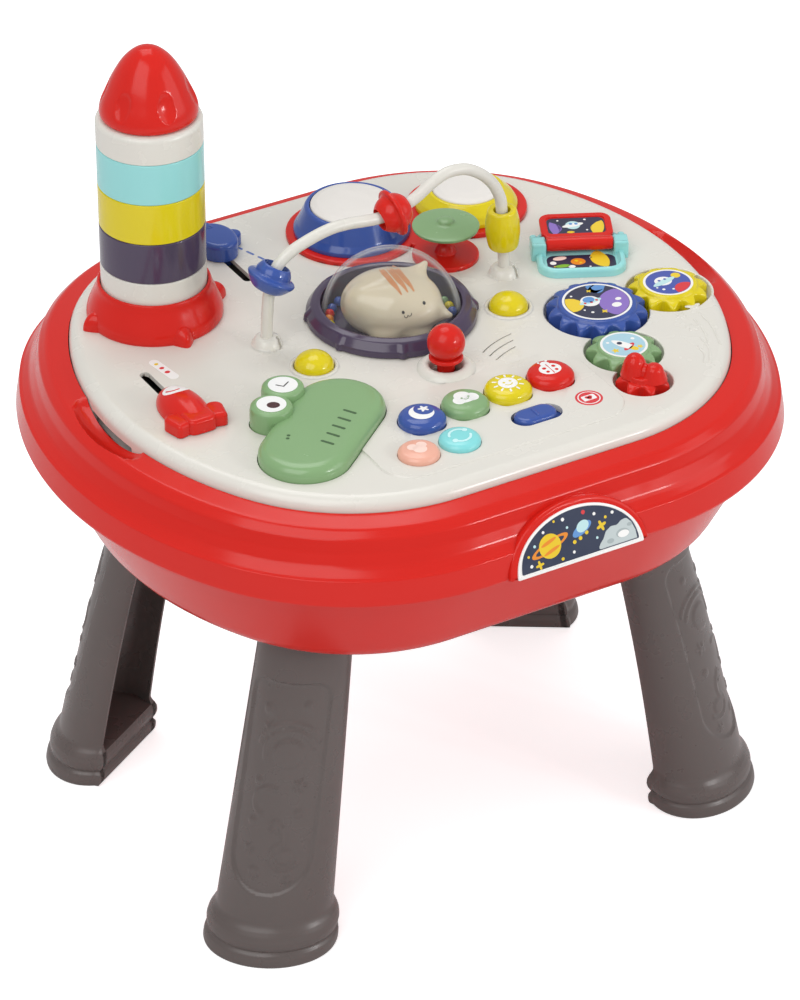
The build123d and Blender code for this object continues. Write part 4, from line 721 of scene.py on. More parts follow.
# ------------------------------------------------------------------ drums and cymbal
# A three-lobed red plate carries two flared drums with soft white pads, and a green disc that turns on a
# post.  Glossy ABS; the pads are matt thermoplastic rubber, slightly crowned.
DRUM_BLUE, DRUM_YELLOW, CYMBAL = (30.8, 111.3), (108.5, 102.4), (66.8, 57.5)
green_abs = moulded("sage green ABS", "84A876", 0.22)
pad_rubber = moulded("white soft-touch rubber", "E4E0DA", 0.5, 0.05, 0.9)
merged("drum_tray", "drum_plate", red_abs, "board", "red_plastic", 32)
for name, at, base_r, pad_r, height, finish, slot in (
        ("blue", DRUM_BLUE, 36.6, 26.0, 21.0, blue_abs, "blue_plastic"),
        ("yellow", DRUM_YELLOW, 32.4, 21.5, 15.0, yellow_abs, "yellow_plastic")):
    # base_r is the flared foot, pad_r the pad in its well; the flank is slightly hollow
    body = rounded([(0, 3.05), (base_r, 3.05), (base_r, 5.6), (base_r - 2.4, 9.4),
                    (pad_r + 3.6, height - 1.2),
                    (pad_r + 2.4, height), (pad_r + 0.5, height), (pad_r + 0.5, height - 6.8),
                    (0, height - 6.8)],
                   {1: 0.4, 2: 1.8, 3: 8, 4: 1.6, 5: 1.4, 6: 0.3}, 8)
    piece("drum_body_" + name, [skin(turned(body, at, 144), True)], finish, "board", slot,
          "drum_shell_" + name)
    pad = rounded([(0, height - 3.4), (pad_r, height - 3.4), (pad_r, height + 0.4),
                   (pad_r - 4, height + 1.7),
                   (pad_r * 0.5, height + 2.5), (0, height + 2.8)], {1: 0.5, 2: 1.3, 3: 6, 4: 20}, 8)
    piece("drum_skin_" + name, [skin(turned(pad, at, 128), True)], pad_rubber, "drum_pad_" + name,
          "soft_pad",
          "drum_pad_" + name)
plate = smooth([(2.5, 18.5), (12, 18.8), (19.4, 20.1), (20.7, 21.4), (20.0, 22.6), (12.5, 23.5),
                (7.2, 23.9)], 6)
boss = smooth([(7.2, 23.9), (5.6, 24.5), (4.6, 26.0), (2.6, 26.8), (0, 27)], 5)[1:]
disc_profile = np.concatenate([plate, boss, [(0, 25.4), (2.5, 25.4)]])
piece("cymbal_disc", [skin(turned(disc_profile, CYMBAL, 112), True, True)], green_abs, "cymbal",
      "green_plastic", "cymbal")


# ------------------------------------------------------------------ clear dome
# A thin clear dome in a dark ring that a hand turns by its bumps, over a dark floor with loose balls
# and a sleeping cat.  Clear polystyrene and ABS; the cat is cream ABS with printed stripes and face.
DOME = (2.0, 13.0)
DOME_R, DOME_WALL, DOME_FLOOR = 42.8, 1.4, -5.4

ring = rounded([(46.2, 0.55), (52.5, 0.55), (52.0, 4.4), (48.6, 9.4), (45.0, 10.4), (43.1, 10.0),
                (43.1, -7.0)],
               {1: 0.6, 2: 2.6, 3: 3.0, 4: 1.2, 5: 0.6}, 7)
grid = turned(np.concatenate([[(46.2, -7.0)], ring]), DOME, 240)
# eight grip bumps: the flank swells outwards by a soft bell over each bearing
flat = grid[..., :2] - np.array(DOME)
angle, reach = np.degrees(np.arctan2(flat[..., 1], flat[..., 0])), np.hypot(flat[..., 0], flat[..., 1])
high = grid[..., 2] - BOARD_Z
bell = np.clip(1 - ((angle % 45 - 22.5) / 2.9) ** 2, 0, 1) ** 0.7
on_flank = np.clip((reach - 45.0) / 3, 0, 1) * np.clip((9.6 - high) / 4, 0, 1) * (high > 0.7)
grid[..., :2] += flat / reach[..., None] * (1.5 * bell * on_flank)[..., None]
piece("turning_ring", [skin(grid, True, True)], plum_abs, "spinner", "purple_plastic", "dome_ring")
floor_profile = rounded([(0, -9.4), (50, -9.4), (50, -7.1), (42.4, -7.1), (42.4, DOME_FLOOR),
                         (0, DOME_FLOOR)],
                        {1: 0.6, 4: 0.5}, 3)
piece("dark_floor", [skin(turned(floor_profile, DOME), True)], plum_abs, "spinner", "purple_plastic",
      "turntable")

b = np.linspace(0, pi / 2, 44)
outer = np.stack([DOME_R * np.cos(b), DOME_R * np.sin(b)], -1)
inner = np.stack([(DOME_R - DOME_WALL) * np.cos(b), (DOME_R - DOME_WALL) * np.sin(b)], -1)[::-1]
shell = np.concatenate([[(DOME_R, DOME_FLOOR)], outer, inner, [(DOME_R - DOME_WALL, DOME_FLOOR)]])
clear_ps = bpy.data.materials.new("clear polystyrene")
clear_ps.use_nodes = True
tree = clear_ps.node_tree
tree.nodes.clear()
# almost nothing is seen face on; the wall shows where it is seen edge on, and window light glints in it
edge = add_node(tree, "LayerWeight", {"Blend": 0.5})
spot = add_node(tree, "TexCoord")
haze = add_node(tree, "TexNoise", {"Scale": 40.0, "Detail": 2.0}, {"Vector": spot.outputs["Object"]})
body_of_wall = add_node(tree, "MapRange", {"From Min": 0.6, "From Max": 0.97, "To Min": 0.03, "To Max": 0.5},
                        {"Value": edge.outputs["Facing"]}, interpolation_type="SMOOTHSTEP")
wisp = add_node(tree, "MapRange", {"From Min": 0.3, "From Max": 0.7, "To Min": 0.03, "To Max": 0.06},
                {"Value": haze.outputs["Fac"]})
surface = add_node(tree, "BsdfPrincipled",
                   {"Base Color": colour("F2F5F5"), "IOR": 1.5, "Specular IOR Level": 0.6},
                   {"Alpha": body_of_wall.outputs[0], "Roughness": wisp.outputs[0]})
add_node(tree, "OutputMaterial", {}, {"Surface": surface.outputs[0]})
piece("dome_shell", [skin(turned(shell, DOME, 160), True, True)], clear_ps, "spinner", "clear_plastic",
      "clear_dome")

CAT_TURN = radians(-30.3)
cat_c, cat_s = cos(CAT_TURN), sin(CAT_TURN)
BODY = ((0, 0, 8.5), (31, 25, 21))
PARTS = [((-15.5, -9.5, 15.0), (12.0, 10.5, 11.0)), ((16.0, -9.0, 10.5), (14.2, 14.5, 11.6)),
         ((-3.5, -20.5, -1.6), (8.6, 5.8, 5.2)), ((16, -17.5, -1.8), (8.0, 5.6, 4.6))]
HORNS = [((11.5, 8.0, 18), (20.2, 15.0, 27.2), 9.8, 2.0), ((21, -7.5, 8), (35.2, -10.2, 5.8), 9.6, 2.0)]


def cat_distance(p):
    """Rough distance outside the cat of places in its own frame: a soft union of eggs, (|p / r| - 1) x the
    smallest radius, and of round-tipped cones, whose radius runs evenly from end to end."""
    def egg_distance(centre, radii):
        """Rough distance outside one egg."""
        return (np.linalg.norm((p - np.array(centre)) / np.array(radii), axis=-1) - 1) * min(radii)

    whole = egg_distance(*BODY)
    for centre, radii in PARTS:
        part = egg_distance(centre, radii)
        soft = np.clip(0.5 + (whole - part) / 8.0, 0, 1)
        whole = whole * (1 - soft) + part * soft - 4.0 * soft * (1 - soft)
    for start, end, r_start, r_end in HORNS:
        start, axis = np.array(start), np.array(end) - np.array(start)
        t = np.clip(((p - start) @ axis) / (axis @ axis), 0, 1)
        part = np.linalg.norm(p - start - t[..., None] * axis, axis=-1) - (r_start + (r_end - r_start) * t)
        soft = np.clip(0.5 + (whole - part) / 7.0, 0, 1)
        whole = whole * (1 - soft) + part * soft - 3.5 * soft * (1 - soft)
    return whole


def meet(start, way, reach=60.0):
    """Where rays from outside first meet the cat: walk in by even steps, then halve the last one."""
    way = np.broadcast_to(way, start.shape)
    best = np.full(start.shape[:-1], reach)
    for far in np.linspace(reach, 0, 121)[::-1]:
        best = np.where(cat_distance(start + way * far) > 0, best, np.minimum(best, far))
    near, far = np.maximum(best - 0.5, 0), best
    for _ in range(12):
        mid = (near + far) / 2
        out = cat_distance(start + way * mid[..., None]) > 0
        near, far = np.where(out, mid, near), np.where(out, far, mid)
    return start + way * far[..., None]


def on_cat(places):
    """The cat's own frame to the table's."""
    x, y, h = places[..., 0], places[..., 1], np.maximum(places[..., 2], DOME_FLOOR + 0.02)
    return np.stack([DOME[0] + x * cat_c - y * cat_s, DOME[1] + x * cat_s + y * cat_c, BOARD_Z + h], -1)


a = np.linspace(0, 2 * pi, 200, endpoint=False)[:, None]
b = np.linspace(-0.62, pi / 2, 100)[None, :]
away = np.stack(np.broadcast_arrays(np.cos(b) * np.cos(a), np.cos(b) * np.sin(a), np.sin(b)), -1)
heart = np.array([2.0, -1.0, 4.0])
cat_grid = on_cat(meet(heart + away * 60.0, -away))
cream_abs = moulded("cream ABS", "D0C5AA", 0.14, 0.01, 3.0)
caramel = moulded("caramel print", "C98A58", 0.28)
ink = moulded("black print", "2B2622", 0.3)
SIGHT = np.array([0.0, -0.84, 0.54])


def draped(x, rise, out=0.0):
    """Places on the side of the cat that faces up and forward: x along it, rise across it, found by rays."""
    start = np.stack(np.broadcast_arrays(x, rise * 0.54, rise * 0.84), -1) + SIGHT * 60.0
    return on_cat(meet(start, -SIGHT) + SIGHT * np.broadcast_to(out, start.shape[:-1])[..., None])


stripe = smooth([(0, 27.0), (2.6, 24.4), (6.4, 19.6), (9.8, 15.6), (12.4, 11.6)], 5)
stripe_width = np.interp(np.linspace(0, 1, 21), [0, 0.18, 0.6, 1], [2.0, 3.3, 3.0, 1.0])
marks = [(ribbon(stripe + shift, stripe_width), caramel, 1)
         for shift in ((-6.4, 0.0), (-2.6, 1.6), (1.2, 2.2))]
marks += [(disc(19.8, 6.4, 0.95, 1.25, 20, count=16), ink, 1),
          (disc(7.2, 0.6, 0.9, 1.2, 20, count=16), ink, 1),
          (ribbon(smooth([(7.8, -1.4), (8.5, -2.6), (9.6, -2.4), (9.9, -1.2)], 4), 0.42, 4), ink, 1),
          (ribbon(smooth([(9.9, -1.2), (11.0, -1.7), (12.0, -1.1), (12.2, 0.2)], 4), 0.42, 4), ink, 1)]
shapes, inks = prints(draped, marks, 0.16)
piece("sleeping_cat", [skin(cat_grid, True)] + shapes, [cream_abs] + inks, "spinner", "cat_plastic",
      "cat_figure")

orange_abs = moulded("orange ABS", "E58A33", 0.25)
ball_finishes = [yellow_abs, orange_abs, red_abs, blue_abs, turquoise_abs, green_abs]
order = [2, 3, 3, 2, 1, 0, 5, 2, 3, 4, 1, 0, 2, 0, 2, 3, 0, 5, 0, 3, 3, 1]
bearings = [100, 118, 132, 142, 152, 162, 172, 182, 192, 203, 213, 223, 240, 262, 300, 342, 352, 2, 13, 26,
            66, 82]
BALL_R, BALL_WAY = 3.1, 38.0
spots = [laid(BALL_WAY, 0, bearing, *DOME) for bearing in bearings]
shapes = [skin(egg((BALL_R, BALL_R, BALL_R), (*at, DOME_FLOOR + BALL_R + 0.02), steps=24), True)
          for at in spots]
piece("loose_balls", shapes, [ball_finishes[n] for n in order], "spinner", "ball_plastic", "rattle_balls")


# ------------------------------------------------------------------ stick and push buttons
# A red ball on a collar in a white cup, two half-ball buttons, four big and two small push buttons, and
# a switch knob.  ABS with a full gloss; the pictures on the buttons are pad-printed in white.
STICK = (-1.3, -57.5)
ball_top = rounded([(0, 6.75), (8.5, 6.75), (10.8, 7.8), (9.8, 9.9), (7.6, 9.9)], {1: 1.6, 2: 1.6, 3: 0.5},
                   6)
b = np.radians(np.linspace(-48, 90, 40))
knob = np.concatenate([ball_top, np.stack([11.5 * np.cos(b), 18.5 + 11.5 * np.sin(b)], -1)])
stem = skin(turned([(0, -13.5), (3.0, -13.5), (3.0, -4), (5.4, -0.5), (5.8, 6.8), (0, 6.8)], STICK, 32),
            True)
PIVOT_H = -12.0


def cross_pin(half, radius, steps):
    """Closed pin along X through the stick's pivot, half its length to each side."""
    w = np.linspace(0, 2 * pi, steps, endpoint=False)[:, None]
    out = radius * np.array([0, 1, 1, 0])
    return skin(np.stack(np.broadcast_arrays(STICK[0] + half * np.array([-1, -1, 1, 1]),
                                             STICK[1] + out * np.cos(w),
                                             BOARD_Z + PIVOT_H + out * np.sin(w)), -1), True)


shapes = [skin(turned(knob, STICK, 96), True), stem, cross_pin(2.5, 3.6, 32), cross_pin(6.8, 1.2, 24)]
piece("stick_ball", shapes, red_abs, "joystick", "red_plastic", "joystick")

half_ball = rounded([(0, -8.7), (13.6, -8.7), (13.6, -3.3), (12.0, -3.3)], {1: 0.6, 2: 0.3}, 3)
b = np.radians(np.linspace(0, 90, 26))
half_ball = np.concatenate([half_ball, np.stack([12.0 * np.cos(b), 0.4 + 9.4 * np.sin(b) ** 0.94], -1)])
for name, x in (("left", -68.0), ("right", 68.0)):
    piece("half_ball_" + name, [skin(turned(half_ball, (x, -15.5), 96), True)], yellow_abs,
          "dome_button_" + name,
          "yellow_plastic", "dome_button_" + name)


def button_line(x, y, grow=0.0, count=96):
    """Outline of a push button: a circle whose radius grows on the near side by 1.4 n (1 - n), and which is
    flattened there by 2 % of n, with n = -sin a."""
    a = np.linspace(0, 2 * pi, count, endpoint=False)
    near = np.clip(-np.sin(a), 0, 1)
    r = 14.2 + grow + 1.4 * near * (1 - near)
    return np.stack([x + r * np.cos(a), y + 0.8 + r * np.sin(a) * (1 - 0.02 * near)], -1)


def pillow(x, y, radius, high, crown):
    """Places on a pillowed button top: height = high + crown (1 - (distance / radius) squared), plus out."""
    def place(u, v, out=0.0):
        """Places over the plan points (u, v), out above the pillow."""
        k = np.minimum(np.hypot(u - x, v - y) / radius, 1)
        return on_board(u, v, high + crown * (1 - k * k) + np.asarray(out))
    return place


salmon_pp = moulded("salmon polypropylene", "EDB09A", 0.2)
cyan_pp = moulded("cyan polypropylene", "86DADB", 0.18)
white_ink = moulded("white pad print", "F1F1EF", 0.36)
pale_salmon = moulded("pale salmon print", "FAD9CC", 0.36)
pale_cyan = moulded("pale cyan pad print", "C9F1F1", 0.36)


def ringed(x, y, radius, wide, low=0, high=360, count=40):
    """Outline of an arc band of a circle, from low to high degrees."""
    a = np.radians(np.linspace(low, high, count))
    return ribbon(np.stack([x + radius * np.cos(a), y + radius * np.sin(a)], -1), wide, 4)


BUTTONS = {"blue": (-45.0, -103.4, blue_abs), "green": (-14.7, -102.3, green_abs),
           "yellow": (15.7, -100.9, yellow_abs),
           "red": (45.8, -99.9, red_abs)}


def button_picture(name, x, y, ground):
    """White picture of a button, each its own: a moon over hills, a sun face, a cloud and a ladybird."""
    if name == "blue":
        return [(disc(x, y, 7.6), white_ink, 1), (disc(x + 2.6, y + 2.2, 6.0), ground, 2),
                (disc(x + 2.8, y + 2.6, 2.6, 1, 18, 5, 0.36), white_ink, 3),
                (disc(x - 0.4, y + 6.4, 0.9), ground, 2)]
    if name == "green":
        body = [(disc(x - 4.4, y - 1.2, 4.0), white_ink, 1), (disc(x + 4.2, y - 1.0, 4.2), white_ink, 1),
                (disc(x - 0.6, y + 2.2, 5.2), white_ink, 1), (disc(x, y - 2.4, 6.4, 0.45), white_ink, 1)]
        return body + [(disc(x - 2.2, y, 0.75), ground, 2), (disc(x + 2.4, y, 0.75), ground, 2),
                       (ringed(x + 0.1, y - 0.6, 1.7, 0.55, 205, 335, 10), ground, 2)]
    if name == "yellow":
        rays = [(ribbon(laid(np.array([7.2, 9.0]), 0, 36 * ray, x, y), 1.2, 4), white_ink, 1)
                for ray in range(10)]
        return rays + [(disc(x, y, 5.9), white_ink, 1), (disc(x - 2.1, y + 0.9, 0.8), ground, 2),
                       (disc(x + 2.1, y + 0.9, 0.8), ground, 2),
                       (ringed(x, y - 0.2, 2.6, 0.65, 210, 330, 12), ground, 2)]
    return [(disc(x, y, 7.0, 0.86), white_ink, 1), (ribbon([(x, y - 5.2), (x, y + 5.2)], 0.7, 4), ground, 2),
            (disc(x, y + 6.2, 2.9), white_ink, 1), (disc(x - 3.2, y + 1.6, 1.25), ground, 2),
            (disc(x + 3.2, y + 1.6, 1.25), ground, 2),
            (disc(x - 3.0, y - 2.6, 1.1), ground, 2), (disc(x + 3.0, y - 2.6, 1.1), ground, 2),
            (disc(x - 2.6, y + 9.2, 0.8), white_ink, 1), (disc(x + 2.6, y + 9.2, 0.8), white_ink, 1)]


for name, (x, y, finish) in BUTTONS.items():
    cap = slab(button_line(x, y - 0.6), on_board,
               [(0, -8.4), (0, 2.6), (0.15, 3.8), (0.7, 5.0), (1.7, 6.1), (3.2, 6.9), (5.0, 7.3)], 0.5)
    flange = slab(button_line(x, y - 0.6, 0.7), on_board, [(0, -8.5), (0, -3.4), (0.3, -3.3)])
    shapes, inks = prints(pillow(x, y, 9.2, 7.34, 0.46), button_picture(name, x, y + 0.6, finish), 0.06)
    piece("push_" + name, [cap, flange] + shapes, [finish, finish] + inks, "button_" + name,
          name + "_plastic",
          "button_" + name)

SMALL_Y = -133.0
low_cap = rounded([(0, -8.5), (13.5, -8.5), (13.5, -3.3), (12.5, -3.3), (12.5, 2.9), (10.6, 4.9), (6, 5.6),
                   (0, 5.8)],
                  {1: 0.5, 2: 0.3, 4: 2.2, 5: 4, 6: 10}, 8)
for name, x, finish, slot, mark, picture in (
        ("salmon", -64.5, salmon_pp, "salmon_plastic", pale_salmon,
         [(-3, 2.4, 3.2), (3, 2.4, 3.2), (0, -1.2, 4.2)]),
        ("cyan", -36.8, cyan_pp, "turquoise_plastic", pale_cyan, [])):
    marks = [(disc(x + u, SMALL_Y + v, r), mark, 1) for u, v, r in picture]
    if not picture:
        marks = [(ringed(x, SMALL_Y, 6.4, 1.5, low, low + 135, 24), mark, 1) for low in (30, 210)]
        marks += [(disc(x + 5.3, SMALL_Y + 3.8, 1.7), mark, 1), (disc(x - 5.3, SMALL_Y - 3.8, 1.7), mark, 1)]
    shapes, inks = prints(pillow(x, SMALL_Y, 12, 5.0, 0.82), marks, 0.07)
    piece("push_" + name, [skin(turned(low_cap, (x, SMALL_Y), 112), True)] + shapes, [finish] + inks,
          "button_" + name, slot, "button_" + name)


def pill(x, y, length, wide, turn=0.0, count=20):
    """Outline of two half circles joined by straight sides, lying along X before it is turned."""
    a = np.linspace(-pi / 2, pi / 2, count)
    r, half = wide / 2, (length - wide) / 2
    u = np.concatenate([half + r * np.cos(a), -half - r * np.cos(a)])
    v = np.concatenate([r * np.sin(a), -r * np.sin(a)])
    return laid(u, v, turn, x, y)


SWITCH = (16.6, -130.2)
knob = slab(pill(*SWITCH, 27, 15.6, count=30), on_board,
            [(0, -4), (0, 0.8), (0.25, 1.9), (0.9, 2.7), (2.0, 3.15), (3.4, 3.2)], -0.15)
under = slab(pill(*SWITCH, 44, 21, count=16), on_board, [(0, -5.6), (0, -3.5)])
ridge = slab(pill(*SWITCH, 9, 2.0, 90), on_board, [(0, 2.6), (0, 3.25), (0.4, 3.6), (0.8, 3.65)])
piece("switch_knob", [knob, under, ridge], blue_abs, "slide_switch", "blue_plastic", "slide_switch")

# the round red sticker right of the switch: a white book with a heart on it
x, y = 54.1, -129.8
book = rounded([(x - 4.4, y - 2.6), (x + 4.4, y - 2.6), (x + 4.4, y + 2.8), (x - 4.4, y + 2.8),
                (x - 4.4, y - 2.6)], {1: 1, 2: 1, 3: 1}, 4)[:-1]
marks = [(disc(x, y, 8.3, count=56), crimson, 1), (disc(x, y, 6.9, count=48), white_ink, 2),
         (disc(x, y, 6.2, count=48), crimson, 3), (book, white_ink, 4),
         (disc(x - 1.1, y + 0.7, 1.3), crimson, 5),
         (disc(x + 1.1, y + 0.7, 1.3), crimson, 5), (disc(x, y - 0.6, 1.5), crimson, 5)]
shapes, inks = prints(lambda u, v, out: on_board(u, v, 0.9 + out), marks, 0.06)
piece("round_sticker", shapes, inks, "board", "badge_print")

# ------------------------------------------------------------------ frog pad
# One pillowed green ABS button as big as a palm: a frog's head with two raised eyes, two nostrils and five
# slots, whose inner shade is painted on as thin dark green marks.  The eyes' discs are printed: one is shut,
# one open.
FROG_A, FROG_B, FROG_R = np.array([-122.7, -101.8]), np.array([-80.6, -67.6]), 27.6
FROG_EYES = [(-104.9, -43.5), (-121.2, -59.0)]
frog_way = (FROG_B - FROG_A) / np.linalg.norm(FROG_B - FROG_A)
frog_turn = degrees(atan2(frog_way[1], frog_way[0]))
frog_middle = (FROG_A + FROG_B) / 2
frog_line = pill(*frog_middle, np.linalg.norm(FROG_B - FROG_A) + 2 * FROG_R, 2 * FROG_R, frog_turn, 60)
frog_levels = [(0, -4.9), (0, 2.6), (0.2, 4.2), (0.8, 5.8), (1.9, 7.2), (3.4, 8.3), (5.4, 9.0), (8.0, 9.35)]
head = slab(frog_line, on_board, frog_levels, 0.25)
eye = rounded([(0, -4.9), (13.0, -4.9), (13.0, 9.4), (12.4, 12.6), (10.2, 13.6), (0, 13.6)],
              {1: 0.4, 3: 1.8, 4: 1.2}, 8)
shapes = [head] + [skin(turned(eye, at, 96), True) for at in FROG_EYES]
finishes = [green_abs] * 3
# painted shade: the slots and nostrils are not cut, the shade inside them is laid on the head as thin dark
# green marks
painted_slot_shade = moulded("painted shade in frog slots", "3F5E38", 0.5)
slots = []
for i in range(-2, 3):
    at = np.array([-96.4, -95.0]) + 9.0 * i * frog_way
    slots.append((pill(at[0], at[1], 9.0, 1.9, frog_turn + 82, 8), painted_slot_shade, 1))
slots += [(disc(-126.2, -88.4, 1.1, count=14), painted_slot_shade, 1),
          (disc(-128.2, -91.0, 1.1, count=14), painted_slot_shade, 1)]
more, inks = prints(lambda u, v, out: on_board(u, v, 9.5 + out), slots, 0.08)
shapes, finishes = shapes + more, finishes + inks
(ax, ay), (bx, by) = FROG_EYES
brown = moulded("dark brown print", "4A2528", 0.3)
eye_marks = [(disc(ax, ay, 8.85, count=56), white_ink, 1), (disc(bx, by, 8.85, count=56), white_ink, 1),
             (ribbon([(ax - 3.6, ay + 1.6), (ax - 0.6, ay - 2.0), (ax + 4.2, ay + 1.0)], [0.9, 1.0, 0.8], 4),
              ink, 2),
             (disc(bx + 0.4, by - 1.6, 3.9, 0.86, -30, count=32), brown, 2)]
more, inks = prints(lambda u, v, out: on_board(u, v, 13.6 + out), eye_marks, 0.06)
piece("frog_head", shapes + more, finishes + inks, "frog_pad", "green_plastic", "frog_pad")


# ------------------------------------------------------------------ gears
# Four thick gears that mesh in one pocket, each on a fixed post: ABS with soft wavy teeth and a raised face
# with a printed disc.  The smallest is turned by a lumpy knob.
MODULE, TOOTH, BACKLASH, POCKET_H, POST_BORE = 4.1, 2.7, 0.38, -9.0, 3.6
TEETH = {"blue": 14, "yellow": 11, "green": 10, "red": 7}
GEAR_TOP = {"blue": (4.8, 6.4), "yellow": (3.4, 5.0), "green": (3.0, 4.4),
            "red": (2.6, 5.5)}    # teeth, face


def mesh_next(place, teeth, turn, other_teeth, bearing):
    """Centre and turn of a gear that meshes with the one at place, in the direction bearing (degrees)."""
    reach = MODULE * (teeth + other_teeth) / 2
    phase = (bearing - (90 + turn)) * teeth / 360
    return ((place[0] + reach * cos(radians(bearing)), place[1] + reach * sin(radians(bearing))),
            bearing + 90 + (phase + 0.5) * 360 / other_teeth)


GEARS = {"blue": ((112.5, -45.8), 0.0)}
GEARS["yellow"] = mesh_next(GEARS["blue"][0], 14, 0.0, 11, -0.3)
GEARS["green"] = mesh_next(GEARS["blue"][0], 14, 0.0, 10, -103.0)
GEARS["red"] = mesh_next(GEARS["green"][0], 10, GEARS["green"][1], 7, -103.1)


def gear_line(teeth, inset=BACKLASH, per_tooth=18):
    """Flank of a gear rolled from a wavy rack y = TOOTH cos(k x): each rack point turns in when its normal
    passes through the pitch point, (x, y) = turned by u / pitch radius."""
    pitch_r, k = MODULE * teeth / 2, 2 / MODULE
    s = np.arange(teeth * per_tooth) / (teeth * per_tooth) * 2 * pi * pitch_r
    y, slope = TOOTH * np.cos(k * s), -TOOTH * k * np.sin(k * s)
    size = np.hypot(1, slope)
    px, py = -y * slope + inset * slope / size, pitch_r + y - inset / size
    turn = (s + y * slope) / pitch_r
    return np.stack([px * np.cos(turn) + py * np.sin(turn), -px * np.sin(turn) + py * np.cos(turn)],
                    -1)[::-1]


def gear_body(name):
    """Gear as rings of its flank: up the side, over the broken top edge by a crown that falls to the tips,
    height = crown(distance), then in to the raised face; below, a bore for its post."""
    (x, y), turn = GEARS[name]
    teeth, (tooth_h, face_h) = TEETH[name], GEAR_TOP[name]
    flank = gear_line(teeth)
    line = laid(flank[:, 0], flank[:, 1], turn, 0, 0)
    root, tip = MODULE * teeth / 2 - TOOTH - 1.4, MODULE * teeth / 2 + TOOTH

    def crown(r):
        """Height of the toothed face at the distance r, which falls to the tips."""
        return tooth_h - 3.3 * np.clip((r - (tip - 6.6)) / 6.6, 0, 1) ** 2.2

    def level_ring(p, h):
        """Places of one ring p of the gear at the height h."""
        return np.column_stack([p + np.array([x, y]), np.broadcast_to(BOARD_Z + h, len(p))])

    inward = inward_of(line)
    low = POCKET_H + 1.0
    rows = []
    for inset, drop in ((0, None), (0, 1.3), (0.12, 0.75), (0.4, 0.3), (0.85, 0.06), (1.3, 0.0)):
        p = line + inward * inset
        height = low if drop is None else crown(np.linalg.norm(p, axis=1)) - drop
        rows.append((p, height))
    inner = rows[-1][0]
    way = inner / np.linalg.norm(inner, axis=1, keepdims=True)
    edge = np.linalg.norm(inner, axis=1)
    for k in (0.8, 0.55, 0.3, 0.12, 0.0):
        r = root + 0.2 + (edge - root - 0.2) * k
        rows.append((way * r[:, None], crown(r)))
    for r, h in ((root - 0.15, tooth_h + 0.15), (root - 0.5, face_h - 0.5), (root - 1.0, face_h - 0.1),
                 (root - 1.7, face_h), (root * 0.6, face_h), (root * 0.3, face_h), (0.0, face_h)):
        rows.append((way * r, h))
    under = [rows[0], (way * POST_BORE, low), (way * POST_BORE, face_h - 2.0), (way * 0, face_h - 2.0)]
    return [skin(np.stack([level_ring(p, h) for p, h in part]), False, True) for part in (rows, under)]


indigo = moulded("indigo print", "2B2E48", 0.34)
violet = moulded("violet print", "8B6FC0", 0.34)
royal = moulded("royal blue print", "4656A8", 0.34)
pale_sky = moulded("pale sky print", "A9CFDD", 0.34)
lemon = moulded("lemon print", "EBCB2E", 0.34)


def sticker(x, y, radius, top, ground, marks):
    """Printed disc: a white ring, its ground, and the marks on it, as thin prints."""
    whole = [(disc(x, y, radius, count=72), paper, 1), (disc(x, y, radius - 1.5, count=72), ground, 2)]
    whole += [(line + np.array([x, y]), print_ink, layer + 2) for line, print_ink, layer in marks]
    return prints(lambda u, v, out: on_board(u, v, top + out), whole, 0.05)


def lens_shape(x, y, radius, cut_x, cut_y, cut_r, count=40):
    """Outline of the part of one circle that lies inside another, by keeping the nearer of the two along each
    bearing from a point between them."""
    mid = np.array([x + cut_x, y + cut_y]) / 2
    a = np.linspace(0, 2 * pi, count, endpoint=False)
    way = np.stack([np.cos(a), np.sin(a)], -1)

    def reach_to(cx, cy, r):
        """Distance from mid to a circle along each bearing, -half + sqrt(half^2 - off^2 + r^2)."""
        off = mid - np.array([cx, cy])
        half = way @ off
        return -half + np.sqrt(np.maximum(half ** 2 - off @ off + r * r, 0))

    return mid + way * np.minimum(reach_to(x, y, radius), reach_to(cut_x, cut_y, cut_r))[:, None]


blue_marks = [(lens_shape(0, 0, 19.6, 15.5, -9.0, 17.0), violet, 1),
              (lens_shape(0, 0, 19.6, -16.5, 4.0, 8.0), lemon, 1),
              (lens_shape(0, 0, 19.6, 9.5, 17.5, 6.5), sky, 1),
              (disc(-3.5, 2.5, 6.0, 1, 0, count=36), paper, 2),
              (disc(-3.5, 2.0, 7.6, 0.3, 0, count=30), mist, 3), (disc(-3.5, 4.2, 3.8, 0.85), sky, 4),
              (disc(-3.5, 0.9, 1.0), crimson, 4),
              (disc(-7.6, 1.6, 0.9), crimson, 4), (disc(0.6, 1.6, 0.9), crimson, 4),
              (disc(8.5, -9.0, 3.2, 0.8), paper, 2),
              (disc(13.0, -3.5, 2.0, 0.8), paper, 2), (disc(-9.0, -9.5, 1.0), paper, 2),
              (disc(-2.0, -12.0, 1.5, 1, 15, 4, 0.45), lemon, 2),
              (disc(2.0, 13.0, 1.2, 1, 15, 4, 0.45), lemon, 2),
              (disc(-10.5, 13.0, 0.8), paper, 2), (disc(-12.0, -5.0, 0.7), paper, 2)]
yellow_marks = [(disc(-2.0, 2.6, 5.6, 0.9), paper, 1), (disc(-2.0, 1.6, 8.8, 0.26, 12), mist, 2),
                (disc(-4.0, 4.0, 0.9), royal, 3),
                (disc(0.0, 4.0, 0.9), royal, 3), (lens_shape(0, 0, 13.6, 6.0, -11.5, 7.2), crimson, 1),
                (disc(8.4, 4.8, 3.0), lemon, 1),
                (disc(-7.0, -6.0, 1.0), paper, 1), (disc(-9.5, -2.5, 0.7), paper, 1),
                (disc(-1.5, -8.5, 0.8), paper, 1)]
rocket = smooth([(-2.6, -6.0), (-3.0, -1.0), (-2.2, 3.8), (0, 7.2), (2.2, 3.8), (3.0, -1.0), (2.6, -6.0)], 6)
wing = disc(0, -5.2, 5.2, 0.36)


